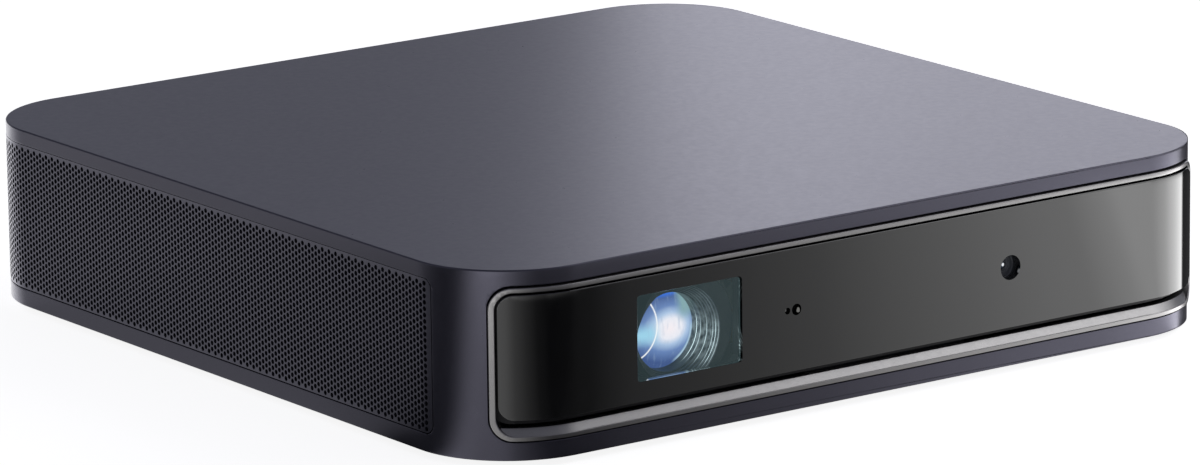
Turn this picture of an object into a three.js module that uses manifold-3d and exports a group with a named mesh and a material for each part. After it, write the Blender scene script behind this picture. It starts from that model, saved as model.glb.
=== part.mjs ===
// Small video projector with a rounded-square metal body, a wrap-round glass front and perforated side grilles.
// Millimetres. The projector shines towards -Y, +X is to the right seen from the front, z = 0 is under its feet.

import * as THREE from 'three';
import { mergeGeometries, mergeVertices } from 'three/addons/utils/BufferGeometryUtils.js';
import Module from 'manifold-3d';

// Clearances and counts used everywhere
const fit = 0.3;
const overrun = 6;
const weld = 0.0005;
const bodySteps = 8;
const roundSteps = 3;
const chamferSteps = 1;
const boreSteps = 18;
const smallBoreSteps = 10;

// Body shell
const bodyWidth = 195;
const bodyHeight = 39.4;
const cornerRadius = 22.5;
const shellWall = 2;
const topPlate = 2.4;
const edgeBreak = 0.3;
const bossRadius = 3.5;
const bossInset = 14.5;
const pilotRadius = 1.6;

// Band of the side that holds the bezel and the grilles, from the body's lower and upper edges
const bandLow = 4;
const bandTopMargin = 3.4;

// Base cover, feet and tripod socket
const baseRecess = 0.4;
const basePlate = 2;
const footRise = 1.5;
const footSink = 0.5;
const footRadius = 8;
const footInset = 29.5;
const footChamfer = 0.5;
const ventWidth = 3;
const ventPitch = 5.4;
const ventCount = 6;
const ventLengthShare = 0.3487;
const pilotDepth = 8;
const tripodBoreRadius = 3.2;
const tripodWall = 1.5;
const tripodDepth = 7.5;
const tripodGap = 6;
const tripodBossWall = 1.8;

// Front bezel, with a ledge sloping up and in along its lower side
const bezelWrapShare = 0.52344;
const bezelProud = 0.65;
const bezelDepth = 4;
const bezelCorner = 5;
const bezelRim = 1.2;
const ledgeRise = 1.9;
const ledgeRun = 1.7;

// Front glass, its clear window and its pits
const glassProud = 0.75;
const glassThickness = 1.8;
const glassEndGap = 0.8;
const glassTopGap = 0.4;
const glassTrough = 1.45;
const glassCorner = 3.3;
const windowWidthShare = 1.4637;
const windowHeightShare = 0.6925;
const windowShiftX = -0.5;
const windowShiftZ = 0.275;
const windowCorner = 0.8;
const frameThickness = 2;
const frameCorner = 3.5;
const frameWindowMargin = 0.6;
const cameraXShare = 0.37333;
const cameraHoleRadius = 2.65;
const cameraPitDepth = 2.6;
const cameraBarrelRadius = 3.5;
const cameraBoardSize = 10;
const cameraBoardThickness = 2.4;
const cameraLensRadius = 0.9;
const cameraLensRise = 0.45;
const sensorXShare = -0.21538;
const sensorSpacing = 2.3;
const sensorPitRadius = 1.2;
const sensorSmallPitRadius = 0.7;
const sensorWidth = 9;
const sensorHeight = 5;
const sensorDepth = 3;

// Side grilles
const grilleThickness = 1.2;
const grilleFrontReach = 4;
const grilleRearXShare = 0.59487;
const grilleCorner = 3.3;
const grilleMargin = 1.9;
const holeColumnStep = 11.2;
const holeRowStep = 7.9;
const holeRadius = 3;
const holeSides = 6;

// Chassis plate
const chassisThickness = 1.8;
const standoffRise = 2;
const standoffRadius = 2.4;
const standoffSides = 6;
const railThickness = 1;
const railHeightShare = 0.683;
const railLeftShare = -0.1436;
const railRightShare = 0.2872;

// Lens
const lensXShare = -0.47795;
const noseRadiusShare = 0.662;
const noseLip = 0.65;
const noseLength = 5.6;
const noseStepShare = 0.1435;
const noseConeDepth = 2.1;
const noseSeatDepth = 2.9;
const barrelRadiusShare = 0.8608;
const barrelBoreShare = 0.6076;
const barrelLength = 28.6;
const lensRadiusShare = 0.7089;
const lensBulge = 2;
const lensThickness = 4.6;
const focusTravel = 2.4;
const mountWallShare = 0.1266;
const mountShoulderShare = 0.1013;
const mountShoulderWidth = 1;
const mountNoseGap = 0.6;
const ringFront = 14;
const flangeRadiusShare = 1.2827;
const flangeThickness = 2.2;
const flangeBack = 31.2;

// Focus gearing
const gearModuleShare = 0.0675;
const ringTeeth = 36;
const pinionTeeth = 10;
const ringWidth = 5;
const gearBacklash = 0.34;
const gearSlope = Math.PI / 9;
const addendumShare = 0.85;
const dedendumShare = 1.15;
const motorRadiusShare = 0.3713;
const motorShaftRadius = 0.8;
const shaftGrip = 3;

// Optical engine
const engineLeftShare = 0.34769;
const engineRightShare = 0.27282;
const engineLengthShare = 0.55385;
const engineNoseChamfer = 12;
const engineTailChamfer = 7;
const engineBoreDepth = 4;
const coverThickness = 1.2;
const coverRib = 0.8;
const coverRibPitch = 6;
const coverRibWidth = 1.6;
const coverInset = 2;

// Imager board and its heat sink
const imagerBoardThickness = 1.6;
const imagerBoardLengthShare = 0.3897;
const imagerBoardHeightShare = 0.9;
const imagerSinkBase = 3;
const imagerWallGap = 3.2;
const imagerSinkHeightShare = 0.8075;
const imagerSinkPitch = 4.4;
const finThickness = 1.2;
const imagerFins = 8;

// Laser module, heat pipes and fin stack
const laserWidthShare = 0.18154;
const laserLengthShare = 0.22564;
const laserHeightShare = 0.7453;
const laserStart = 6;
const laserFoot = 3;
const laserEar = 3;
const laserChamfer = 2;
const pipeRadius = 2.4;
const pipeSides = 8;
const pipeSteps = 6;
const pipeBendShare = 0.1;
const pipeOutShare = 0.1077;
const pipeCorridorShare = 0.2051;
const pipeLowRiseShare = 0.2484;
const pipeHighRiseShare = 0.4814;
const stackWallGap = 7.8;
const stackBase = 2.6;
const stackHeightShare = 0.8385;
const stackPitchShare = 0.04615;
const stackFins = 8;

// Phosphor wheel
const wheelRadiusShare = 0.4037;
const wheelGap = 3;
const wheelThickness = 1;
const wheelHubRadius = 4.5;
const wheelHubLength = 1.2;
const wheelXShare = -0.12821;
const wheelRiseShare = 0.472;
const wheelShaftRadius = 1;
const wheelShaftLength = 3;
const wheelMotorRadiusShare = 0.2019;
const wheelMotorLength = 7;
const bracketThickness = 1.5;
const bracketWidth = 14;
const bracketFoot = 5;

// Blower fans
const fanHeightShare = 0.8075;
const fanWall = 1.2;
const fanInnerRadiusShare = 0.20103;
const fanGrowthShare = 0.05128;
const fanOutletReachShare = 0.27692;
const fanTongueAngle = Math.PI / 9;
const fanSpiralSteps = 20;
const fanInletRadiusShare = 0.74;
const fanStubRadius = 2.6;
const rotorRadiusShare = 0.9184;
const rotorHubRadiusShare = 0.4337;
const rotorFloor = 1;
const rotorGap = 1;
const bladeCount = 11;
const bladeThickness = 1;
const bladeSweep = Math.PI / 6;
const bladeRootShare = 0.9;
const rightFanXShare = 0.45128;
const rightFanYShare = -0.45128;
const leftFanXShare = -0.65641;
const leftFanYShare = 0.1641;

// Circuit boards
const boardThickness = 1.6;
const boardWallGap = 5.3;
const boardGap = 2.2;
const mainBoardLeftShare = -0.35897;
const mainBoardRightShare = 0.51282;
const boardHoleInset = 3.5;
const boardHoleRadius = 1.5;
const shieldSize = 38;
const shieldHeight = 3.4;
const shieldChamfer = 2;
const shieldX = 8;
const shieldY = 40;
const powerBoardLeftShare = 0.5641;
const powerBoardFrontShare = -0.06154;
const powerBoardBackShare = 0.43077;
const inductorRadius = 7;
const inductorHeight = 11;
const capacitorRadius = 4;
const capacitorHeight = 14;
const componentSides = 12;
const antennaWallGap = 6.6;
const antennaFrontGap = 20.5;
const antennaThickness = 0.8;
const antennaLength = 9;
const antennaHeight = 20;

// Speakers
const speakerLeftShare = 0.6359;
const speakerFrontShare = 0.48205;
const speakerHeightShare = 0.9317;
const speakerWallGap = 6.3;
const speakerBossGap = 0.9;
const speakerCorner = 5;
const speakerRecessShare = 0.4;
const speakerRecessDepth = 8;
const coneSet = 1;
const coneDepth = 4.2;
const coneThickness = 0.8;
const dustCapRadius = 4.2;
const dustCapRise = 1.4;

// Rear panel and its sockets
const rearHalfWidthShare = 0.47179;
const rearLow = 6.3;
const rearHigh = 18.7;
const rearCorner = 2.5;
const rearInset = 0.9;
const rearPlate = 1.4;
const rearLip = 2;
const rearFlange = 1.6;
const socketWall = 0.4;
const mouthSink = 0.7;
const insertBlock = 3;
const tongueThickness = 1.6;
const tongueSetback = 4.6;
const socketDepth = 13;
const videoXShare = -0.12308;
const videoWidth = 15;
const videoHeight = 5.6;
const usbXShare = 0.07179;
const usbWidth = 13.4;
const usbHeight = 6;
const powerXShare = -0.30769;
const powerSize = 9;
const powerCollarRadius = 4.1;
const powerBoreRadius = 3.2;
const powerPinRadius = 1;
const powerPinSetback = 4.4;
const audioXShare = 0.22564;
const audioSize = 7;
const audioCollarRadius = 3;
const audioBoreRadius = 1.75;
const audioBoreDepth = 11;
const buttonXShare = 0.35897;
const buttonWidth = 9;
const buttonHeight = 4.6;
const buttonProud = 0.6;
const buttonTravel = 0.5;
const buttonFlange = 1;
const buttonFlangeThickness = 1.2;
const buttonStem = 3;
const buttonStemLength = 4;
const switchDepth = 5;
const switchWidth = 6;

// Heights that follow from the sizes above
const half = bodyWidth / 2;
const flat = half - cornerRadius;
const bezelHalfLength = flat + cornerRadius * Math.PI / 2 * bezelWrapShare;
const bodyLow = footRise;
const bodyTop = bodyLow + bodyHeight;
const ceiling = bodyTop - topPlate;
const baseLow = bodyLow + baseRecess;
const baseTop = baseLow + basePlate;
const chassisLow = baseTop + fit;
const chassisTop = chassisLow + chassisThickness;
const seat = chassisTop + fit;
const cabin = ceiling - seat;
const boardLow = chassisTop + standoffRise + fit;
const boardTop = boardLow + boardThickness;
const bezelLow = bodyLow + bandLow;
const bezelHigh = bodyTop - bandTopMargin;
const glassLow = bezelLow + bezelRim + ledgeRise + glassTrough;
const glassHigh = bezelHigh - bezelRim - glassTopGap;
const glassHeight = glassHigh - glassLow;
const lensZ = (glassLow + glassHigh) / 2;

// Sizes that are shares of the height inside, or of the glass and the lens
const railHeight = cabin * railHeightShare;
const imagerBoardHeight = cabin * imagerBoardHeightShare;
const imagerSinkHeight = cabin * imagerSinkHeightShare;
const laserHeight = cabin * laserHeightShare;
const pipeLowRise = cabin * pipeLowRiseShare;
const pipeHighRise = cabin * pipeHighRiseShare;
const stackHeight = cabin * stackHeightShare;
const wheelRadius = cabin * wheelRadiusShare;
const wheelRise = cabin * wheelRiseShare;
const wheelMotorRadius = cabin * wheelMotorRadiusShare;
const fanHeight = cabin * fanHeightShare;
const speakerHeight = cabin * speakerHeightShare;
const windowHeight = glassHeight * windowHeightShare;
const windowWidth = windowHeight * windowWidthShare;
const noseRadius = windowHeight * noseRadiusShare;
const noseStep = noseRadius * noseStepShare;
const barrelRadius = noseRadius * barrelRadiusShare;
const barrelBore = noseRadius * barrelBoreShare;
const lensRadius = noseRadius * lensRadiusShare;
const mountWall = noseRadius * mountWallShare;
const mountShoulder = noseRadius * mountShoulderShare;
const flangeRadius = noseRadius * flangeRadiusShare;
const gearModule = noseRadius * gearModuleShare;
const motorRadius = noseRadius * motorRadiusShare;
const engineHeight = cabin - 2 * fit - coverThickness - coverRib;

// Sizes and places that are shares of half the body's width
const ventLength = half * ventLengthShare;
const cameraX = half * cameraXShare;
const sensorX = half * sensorXShare;
const grilleRearX = half * grilleRearXShare;
const railLeft = half * railLeftShare;
const railRight = half * railRightShare;
const lensX = half * lensXShare;
const engineLeft = half * engineLeftShare;
const engineRight = half * engineRightShare;
const engineLength = half * engineLengthShare;
const imagerBoardLength = half * imagerBoardLengthShare;
const laserWidth = half * laserWidthShare;
const laserLength = half * laserLengthShare;
const pipeBend = half * pipeBendShare;
const pipeOut = half * pipeOutShare;
const pipeCorridor = half * pipeCorridorShare;
const stackPitch = half * stackPitchShare;
const wheelX = half * wheelXShare;
const fanInnerRadius = half * fanInnerRadiusShare;
const fanGrowth = half * fanGrowthShare;
const fanOutletReach = half * fanOutletReachShare;
const rightFanX = half * rightFanXShare;
const rightFanY = half * rightFanYShare;
const leftFanX = half * leftFanXShare;
const leftFanY = half * leftFanYShare;
const mainBoardLeft = half * mainBoardLeftShare;
const mainBoardRight = half * mainBoardRightShare;
const powerBoardLeft = half * powerBoardLeftShare;
const powerBoardFront = half * powerBoardFrontShare;
const powerBoardBack = half * powerBoardBackShare;
const speakerLeft = half * speakerLeftShare;
const speakerFront = half * speakerFrontShare;
const rearHalfWidth = half * rearHalfWidthShare;
const videoX = half * videoXShare;
const usbX = half * usbXShare;
const powerX = half * powerXShare;
const audioX = half * audioXShare;
const buttonX = half * buttonXShare;
const fanInletRadius = fanInnerRadius * fanInletRadiusShare;
const rotorRadius = fanInnerRadius * rotorRadiusShare;
const rotorHubRadius = fanInnerRadius * rotorHubRadiusShare;

// Places that follow from a neighbour and a gap
const bossPlace = half - bossInset;
const footPlace = half - footInset;
const laserBack = flangeBack + fit + laserStart + laserLength;
const wheelY = -half + laserBack + wheelGap + wheelRadius;
const tripodY = wheelY + wheelRadius + tripodGap;
const tripodBossRadius = tripodBoreRadius + tripodWall + fit + tripodBossWall;
const mainBoardFront = tripodY + tripodBossRadius + boardGap;
const mainBoardBack = half - boardWallGap;
const powerBoardRight = half - boardWallGap;
const imagerSinkFin = half + lensX - engineLeft - 2 * fit - imagerBoardThickness - imagerSinkBase - imagerWallGap;
const antennaX = half - antennaWallGap;
const antennaY = -half + antennaFrontGap;
const speakerRight = half - speakerWallGap;
const speakerBack = bossPlace - bossRadius - speakerBossGap;
const speakerRecessRadius = Math.min(speakerHeight, speakerBack - speakerFront) * speakerRecessShare;

// Solids from three.js geometry

const wasm = await Module();
wasm.setup();

// A closed geometry as a solid, with its shared corners merged and its collapsed triangles left out.
function solid(geometry) {
  const bare = geometry.clone();
  bare.deleteAttribute('normal');
  bare.deleteAttribute('uv');
  const merged = mergeVertices(bare, weld);
  const corners = Array.from(merged.index.array);
  const kept = [];
  for (let i = 0; i < corners.length; i += 3) {
    const [a, b, c] = corners.slice(i, i + 3);
    if (a !== b && b !== c && c !== a) kept.push(a, b, c);
  }
  return new wasm.Manifold(new wasm.Mesh({
    numProp: 3,
    vertProperties: new Float32Array(merged.attributes.position.array),
    triVerts: new Uint32Array(kept),
  }));
}

function join(first, ...others) {
  return others.reduce((body, other) => body.add(other), first);
}

function cut(first, ...others) {
  return others.reduce((body, other) => body.subtract(other), first);
}

function piece(name, body, material) {
  const { vertProperties, triVerts } = body.getMesh();
  const geometry = new THREE.BufferGeometry();
  geometry.setAttribute('position', new THREE.BufferAttribute(new Float32Array(vertProperties), 3));
  geometry.setIndex(new THREE.BufferAttribute(new Uint32Array(triVerts), 1));
  geometry.computeVertexNormals();
  const mesh = new THREE.Mesh(geometry, material);
  mesh.name = name;
  return mesh;
}

function group(x, y, z, ...children) {
  const made = new THREE.Group();
  made.position.set(x, y, z);
  if (children.length) made.add(...children);
  return made;
}

function prism(points, depth, holes) {
  const shape = new THREE.Shape(points);
  shape.holes = holes.map((hole) => new THREE.Path(hole));
  return new THREE.ExtrudeGeometry(shape, { depth, bevelEnabled: false });
}

// Outline in x and y, standing from low to high
function upright(points, low, high, holes = []) {
  return solid(prism(points, high - low, holes).translate(0, 0, low));
}

// Outline in x and z, running from front to back along y
function alongY(points, front, back, holes = []) {
  return solid(prism(points, back - front, holes).rotateX(Math.PI / 2).translate(0, back, 0));
}

// Outline in y and z, running from left to right along x
function alongX(points, left, right, holes = []) {
  const turned = prism(points, right - left, holes).rotateX(Math.PI / 2).rotateZ(Math.PI / 2);
  return solid(turned.translate(left, 0, 0));
}

// Profile of radii and places along y, turned round the y axis
function turning(profile, steps) {
  const points = profile.map(([radius, place]) => new THREE.Vector2(radius, place));
  const ordered = THREE.ShapeUtils.isClockWise(points) ? points.reverse() : points;
  const closed = profile.every(([radius]) => radius > 0) ? [...ordered, ordered[0].clone()] : ordered;
  return new THREE.LatheGeometry(closed, steps);
}

function turnedY(profile, steps = boreSteps) {
  return solid(turning(profile, steps));
}

function turnedZ(profile, steps = boreSteps) {
  return solid(turning(profile, steps).rotateX(Math.PI / 2));
}

function turnedX(profile, steps = boreSteps) {
  return solid(turning(profile, steps).rotateZ(-Math.PI / 2));
}

// Stack of outlines with as many points each, skinned and capped
function loft(layers) {
  const count = layers[0].points.length;
  const places = layers.flatMap(({ points, z }) => points.flatMap((point) => [point.x, point.y, z]));
  const corners = [];
  for (let layer = 0; layer + 1 < layers.length; layer += 1) {
    for (let i = 0; i < count; i += 1) {
      const a = layer * count + i;
      const b = layer * count + (i + 1) % count;
      corners.push(a, b, b + count, a, b + count, a + count);
    }
  }
  const last = (layers.length - 1) * count;
  for (const [a, b, c] of THREE.ShapeUtils.triangulateShape(layers[0].points, [])) {
    corners.push(a, c, b, last + a, last + b, last + c);
  }
  const geometry = new THREE.BufferGeometry();
  geometry.setAttribute('position', new THREE.Float32BufferAttribute(places, 3));
  geometry.setIndex(corners);
  return solid(geometry);
}

// Outlines

function arc(x, y, radius, from, to, steps) {
  const points = [];
  for (let i = 0; i <= steps; i += 1) {
    const angle = from + (to - from) * i / steps;
    points.push(new THREE.Vector2(x + radius * Math.cos(angle), y + radius * Math.sin(angle)));
  }
  return points;
}

function circle(x, y, radius, steps = boreSteps) {
  return arc(x, y, radius, 0, 2 * Math.PI, steps).slice(0, steps);
}

function box(left, right, low, high) {
  return [[left, low], [right, low], [right, high], [left, high]].map(([x, y]) => new THREE.Vector2(x, y));
}

function roundedBox(left, right, low, high, radius, steps = roundSteps) {
  const quarter = Math.PI / 2;
  return [
    ...arc(left + radius, low + radius, radius, 2 * quarter, 3 * quarter, steps),
    ...arc(right - radius, low + radius, radius, 3 * quarter, 4 * quarter, steps),
    ...arc(right - radius, high - radius, radius, 0, quarter, steps),
    ...arc(left + radius, high - radius, radius, quarter, 2 * quarter, steps),
  ];
}

// Plan outline with chamfered front and back corners
function chamferedBox(left, right, front, back, frontCut, backCut) {
  return [
    [left + frontCut, front], [right - frontCut, front], [right, front + frontCut], [right, back - backCut],
    [right - backCut, back], [left + backCut, back], [left, back - backCut], [left, front + frontCut],
  ].map(([x, y]) => new THREE.Vector2(x, y));
}

// Comb of fins standing on a base, as an outline in place and height
function comb(start, count, pitch, thickness, low, baseHigh, finHigh) {
  const end = start + (count - 1) * pitch + thickness;
  const points = [new THREE.Vector2(start, low), new THREE.Vector2(end, low)];
  for (let i = count - 1; i >= 0; i -= 1) {
    const left = start + i * pitch;
    points.push(new THREE.Vector2(left + thickness, finHigh), new THREE.Vector2(left, finHigh));
    if (i > 0) points.push(new THREE.Vector2(left, baseHigh), new THREE.Vector2(left - pitch + thickness, baseHigh));
  }
  return points;
}

// The body's plan outline, grown by offset
function bodyOutline(offset) {
  return roundedBox(-half - offset, half + offset, -half - offset, half + offset, cornerRadius + offset, bodySteps);
}

function bodySlab(outer, inner, low, high) {
  return upright(bodyOutline(outer), low, high, [bodyOutline(inner)]);
}

// Seen from the front, where a place measured along the wall from the middle lies
function seenFromFront(along) {
  const past = Math.max(Math.abs(along) - flat, 0);
  const x = Math.min(Math.abs(along), flat) + cornerRadius * Math.sin(past / cornerRadius);
  return Math.sign(along) * x;
}

// Rounded outline that is symmetric about the middle and wraps both front corners, as a cutter
function frontWrap(halfLength, low, high, radius) {
  const outline = roundedBox(-halfLength, halfLength, low, high, radius);
  const seen = outline.map((point) => new THREE.Vector2(seenFromFront(point.x), point.y));
  return alongY(seen, -half - overrun, -flat - bezelDepth);
}

// Point of the right wall, measured along it from the middle of the side towards the back
function onWall(along) {
  const past = Math.max(Math.abs(along) - flat, 0);
  const turn = Math.min(past / cornerRadius, Math.PI / 2);
  const beyond = Math.max(past - cornerRadius * Math.PI / 2, 0);
  const side = Math.sign(along);
  return {
    x: flat + cornerRadius * Math.cos(turn) - beyond,
    y: side * (Math.min(Math.abs(along), flat) + cornerRadius * Math.sin(turn)),
    angle: side * turn,
  };
}

// Room of the right grille: along the side, and round the rear corner
function sideWrap(clearance) {
  const front = -flat - grilleFrontReach + clearance;
  const low = bezelLow - fit + clearance;
  const high = bezelHigh + fit - clearance;
  const past = half + overrun;
  const radius = grilleCorner - clearance;
  return join(
    alongX(roundedBox(front, past, low, high, radius), flat, past),
    alongY(roundedBox(grilleRearX + clearance, past, low, high, radius), flat, past),
  );
}

// Finishes

function finish(color, roughness, metalness) {
  return new THREE.MeshStandardMaterial({ color, roughness, metalness });
}

const slateMetal = finish(0x4a4a54, 0.42, 0.6);
const brightMetal = finish(0x8c8c90, 0.3, 0.8);
const blackGlass = finish(0x0b0b0d, 0.06, 0.1);
const clearGlass = finish(0x223040, 0.03, 0);
const coatedGlass = finish(0x2f5fc0, 0.03, 0.2);
const blackPlastic = finish(0x141416, 0.6, 0);
const darkRubber = finish(0x1b1b1c, 0.9, 0);
const castMetal = finish(0x77797c, 0.5, 0.7);
const sinkMetal = finish(0xb8bbbe, 0.35, 0.9);
const copper = finish(0xb87040, 0.3, 0.9);
const brass = finish(0xb89a55, 0.35, 0.9);
const steel = finish(0x9a9ca0, 0.35, 0.9);
const gearPlastic = finish(0xd8d4c8, 0.5, 0);
const boardGreen = finish(0x1d3b2c, 0.6, 0.1);
const paperCone = finish(0x222222, 0.85, 0);
const phosphor = finish(0xd8c84a, 0.5, 0.2);

// Outer body

function makeShell() {
  const outer = loft([
    { points: bodyOutline(-edgeBreak), z: bodyLow },
    { points: bodyOutline(0), z: bodyLow + edgeBreak },
    { points: bodyOutline(0), z: bodyTop - edgeBreak },
    { points: bodyOutline(-edgeBreak), z: bodyTop },
  ]);
  const inside = upright(bodyOutline(-shellWall), bodyLow - overrun, ceiling);
  const front = frontWrap(bezelHalfLength + fit, bezelLow - fit, bezelHigh + fit, bezelCorner + fit);
  const side = sideWrap(0);
  const rear = alongY(
    roundedBox(-rearHalfWidth - fit, rearHalfWidth + fit, bodyLow + rearLow - fit, bodyLow + rearHigh + fit, rearCorner),
    flat, half + overrun);
  const skirt = cut(outer, inside, front, side, side.mirror([1, 0, 0]), rear);
  const bosses = cornerPlaces(bossPlace).map(([x, y]) => {
    const boss = upright(circle(x, y, bossRadius, smallBoreSteps), chassisLow, ceiling + topPlate / 2);
    return boss.subtract(upright(circle(x, y, pilotRadius, smallBoreSteps), bodyLow, baseLow + pilotDepth));
  });
  return piece('top_shell', join(skirt, ...bosses), slateMetal);
}

function cornerPlaces(place) {
  return [[-place, -place], [place, -place], [place, place], [-place, place]];
}

// Row of intake slots centred under a fan
function ventSlots(x, y) {
  const slots = [];
  for (let i = 0; i < ventCount; i += 1) {
    const place = x + (i - (ventCount - 1) / 2) * ventPitch;
    const slot = box(place - ventWidth / 2, place + ventWidth / 2, y - ventLength / 2, y + ventLength / 2);
    slots.push(upright(slot, baseLow - overrun, baseTop + overrun / 2));
  }
  return slots;
}

function makeBase() {
  const plate = upright(bodyOutline(-shellWall - fit), baseLow, baseTop);
  const insertRadius = tripodBoreRadius + tripodWall;
  const bossTop = baseLow + tripodDepth + fit + tripodBossWall;
  const boss = upright(circle(0, tripodY, tripodBossRadius), baseLow, bossTop);
  const insertHole = upright(circle(0, tripodY, insertRadius + fit), baseLow - overrun, baseLow + tripodDepth + fit);
  const screwHoles = cornerPlaces(bossPlace).map(([x, y]) => (
    upright(circle(x, y, pilotRadius, smallBoreSteps), baseLow - overrun, baseTop + overrun)));
  const footHoles = cornerPlaces(footPlace).map(([x, y]) => (
    upright(circle(x, y, footRadius + fit), baseLow - overrun, baseLow + footSink + fit)));
  const vents = [...ventSlots(rightFanX, rightFanY), ...ventSlots(leftFanX, leftFanY)];
  return piece('base_cover', cut(join(plate, boss), insertHole, ...screwHoles, ...footHoles, ...vents), blackPlastic);
}

function makeFeet() {
  const names = ['front_left_foot', 'front_right_foot', 'rear_right_foot', 'rear_left_foot'];
  const profile = [
    [0, 0], [footRadius - footChamfer, 0], [footRadius, footChamfer],
    [footRadius, baseLow + footSink], [0, baseLow + footSink],
  ];
  return names.map((name, i) => {
    const foot = piece(name, turnedZ(profile), darkRubber);
    foot.position.set(...cornerPlaces(footPlace)[i], 0);
    return foot;
  });
}

function makeTripodInsert() {
  const profile = [
    [tripodBoreRadius, baseLow], [tripodBoreRadius + tripodWall, baseLow],
    [tripodBoreRadius + tripodWall, baseLow + tripodDepth], [tripodBoreRadius, baseLow + tripodDepth],
  ];
  return group(0, tripodY, 0, piece('tripod_insert', turnedZ(profile), brass));
}

// Perforated panel along the right side, round the rear corner, with staggered six-sided holes
function makeGrille() {
  const low = bezelLow + grilleMargin;
  const high = bezelHigh - grilleMargin;
  const start = -flat - grilleFrontReach + grilleMargin;
  const end = flat + cornerRadius * Math.PI / 2 + (flat - grilleRearX) - grilleMargin;
  const columns = Math.floor((end - start) / holeColumnStep);
  const rows = Math.floor((high - low - holeRowStep / 2) / holeRowStep);
  const holes = [];
  for (let column = 0; column < columns; column += 1) {
    const along = (start + end) / 2 + (column - (columns - 1) / 2) * holeColumnStep;
    const { x, y, angle } = onWall(along);
    const stagger = (column % 2 - 1 / 2) * holeRowStep / 2;
    for (let row = 0; row < rows; row += 1) {
      const z = (low + high) / 2 + (row - (rows - 1) / 2) * holeRowStep + stagger;
      const hole = new THREE.CylinderGeometry(holeRadius, holeRadius, overrun, holeSides);
      holes.push(hole.rotateZ(-Math.PI / 2).rotateZ(angle).translate(x, y, z));
    }
  }
  const panel = bodySlab(0, -grilleThickness, bezelLow, bezelHigh).intersect(sideWrap(fit));
  return panel.subtract(solid(mergeGeometries(holes)));
}

function makeGrilles() {
  const body = makeGrille();
  const right = piece('right_grille', body, slateMetal);
  const left = piece('left_grille', body, slateMetal);
  left.scale.x = -1;
  return [right, left];
}

// Front

function makeBezel() {
  const rimLow = bezelLow + bezelRim;
  const ring = bodySlab(bezelProud, -bezelDepth, bezelLow - overrun, bezelHigh + overrun);
  const block = ring.intersect(frontWrap(bezelHalfLength, bezelLow, bezelHigh, bezelCorner));
  const opening = frontWrap(
    bezelHalfLength - bezelRim, rimLow, bezelHigh - bezelRim, bezelCorner - bezelRim);
  const ledge = loft([
    { points: bodyOutline(bezelProud), z: rimLow - overrun },
    { points: bodyOutline(bezelProud), z: rimLow },
    { points: bodyOutline(bezelProud - ledgeRun), z: rimLow + ledgeRise },
  ]);
  return piece('front_bezel', cut(block, cut(opening, ledge)), brightMetal);
}

const glassHalfLength = bezelHalfLength - bezelRim - glassEndGap;
const glassBack = glassThickness - glassProud;
const windowX = lensX + windowShiftX;
const windowZ = lensZ + windowShiftZ;

function windowOutline(grow) {
  const wide = windowWidth / 2 + grow;
  const high = windowHeight / 2 + grow;
  return roundedBox(windowX - wide, windowX + wide, windowZ - high, windowZ + high, windowCorner + grow, chamferSteps);
}

function throughFront(outline) {
  return alongY(outline, -half - overrun, -half + bezelDepth + overrun);
}

function makeGlass() {
  const sheet = bodySlab(glassProud, -glassBack, glassLow, glassHigh);
  const panel = sheet.intersect(frontWrap(glassHalfLength, glassLow, glassHigh, glassCorner));
  const pits = [
    throughFront(circle(cameraX, lensZ, cameraHoleRadius)),
    throughFront(circle(sensorX + sensorSpacing / 2, lensZ, sensorPitRadius, smallBoreSteps)),
    throughFront(circle(sensorX - sensorSpacing / 2, lensZ, sensorSmallPitRadius, smallBoreSteps)),
  ];
  return piece('front_glass', cut(panel, throughFront(windowOutline(0)), ...pits), blackGlass);
}

function makeWindow() {
  return piece('lens_window', alongY(windowOutline(-fit), -half - glassProud, -half + glassBack), clearGlass);
}

// Black carrier behind the glass, with room for the lens nose, the camera and the sensor
function makeFrontFrame() {
  const front = glassBack + fit;
  const low = bezelLow + bezelRim + ledgeRise + fit;
  const high = bezelHigh - bezelRim - fit;
  const length = bezelHalfLength - bezelRim - fit;
  const sheet = bodySlab(-front, -front - frameThickness, low, high);
  const panel = sheet.intersect(frontWrap(length, low, high, frameCorner));
  const sensorRoom = box(
    sensorX - sensorWidth / 2 - fit, sensorX + sensorWidth / 2 + fit,
    lensZ - sensorHeight / 2 - fit, lensZ + sensorHeight / 2 + fit);
  return piece('front_frame', cut(
    panel,
    throughFront(windowOutline(frameWindowMargin)),
    throughFront(circle(lensX, lensZ, noseRadius + 2 * fit)),
    throughFront(circle(cameraX, lensZ, cameraBarrelRadius + fit)),
    throughFront(sensorRoom),
  ), blackPlastic);
}

function makeCamera() {
  const face = cameraPitDepth - glassProud;
  const back = glassBack + fit + frameThickness + fit;
  const seatRadius = cameraLensRadius + fit;
  const barrel = turnedY([
    [0, face + cameraLensRise], [seatRadius, face + cameraLensRise], [seatRadius, face],
    [cameraBarrelRadius, face], [cameraBarrelRadius, back + fit], [0, back + fit],
  ]);
  const side = cameraBoardSize / 2;
  const block = alongY(roundedBox(-side, side, -side, side, edgeBreak, chamferSteps), back, back + cameraBoardThickness);
  const lens = turnedY([
    [0, face - cameraLensRise / 3], [cameraLensRadius / 2, face - cameraLensRise / 4],
    [cameraLensRadius, face], [cameraLensRadius, face + cameraLensRise / 3], [0, face + cameraLensRise / 3],
  ], smallBoreSteps);
  return group(cameraX, -half, lensZ,
    piece('camera_module', join(barrel, block), blackPlastic),
    piece('camera_lens', lens, coatedGlass));
}

function makeSensor() {
  const front = glassBack + fit;
  const wide = sensorWidth / 2;
  const high = sensorHeight / 2;
  const block = alongY(roundedBox(-wide, wide, -high, high, edgeBreak, chamferSteps), front, front + sensorDepth);
  return group(sensorX, -half, lensZ, piece('tof_module', block, blackPlastic));
}

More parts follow.
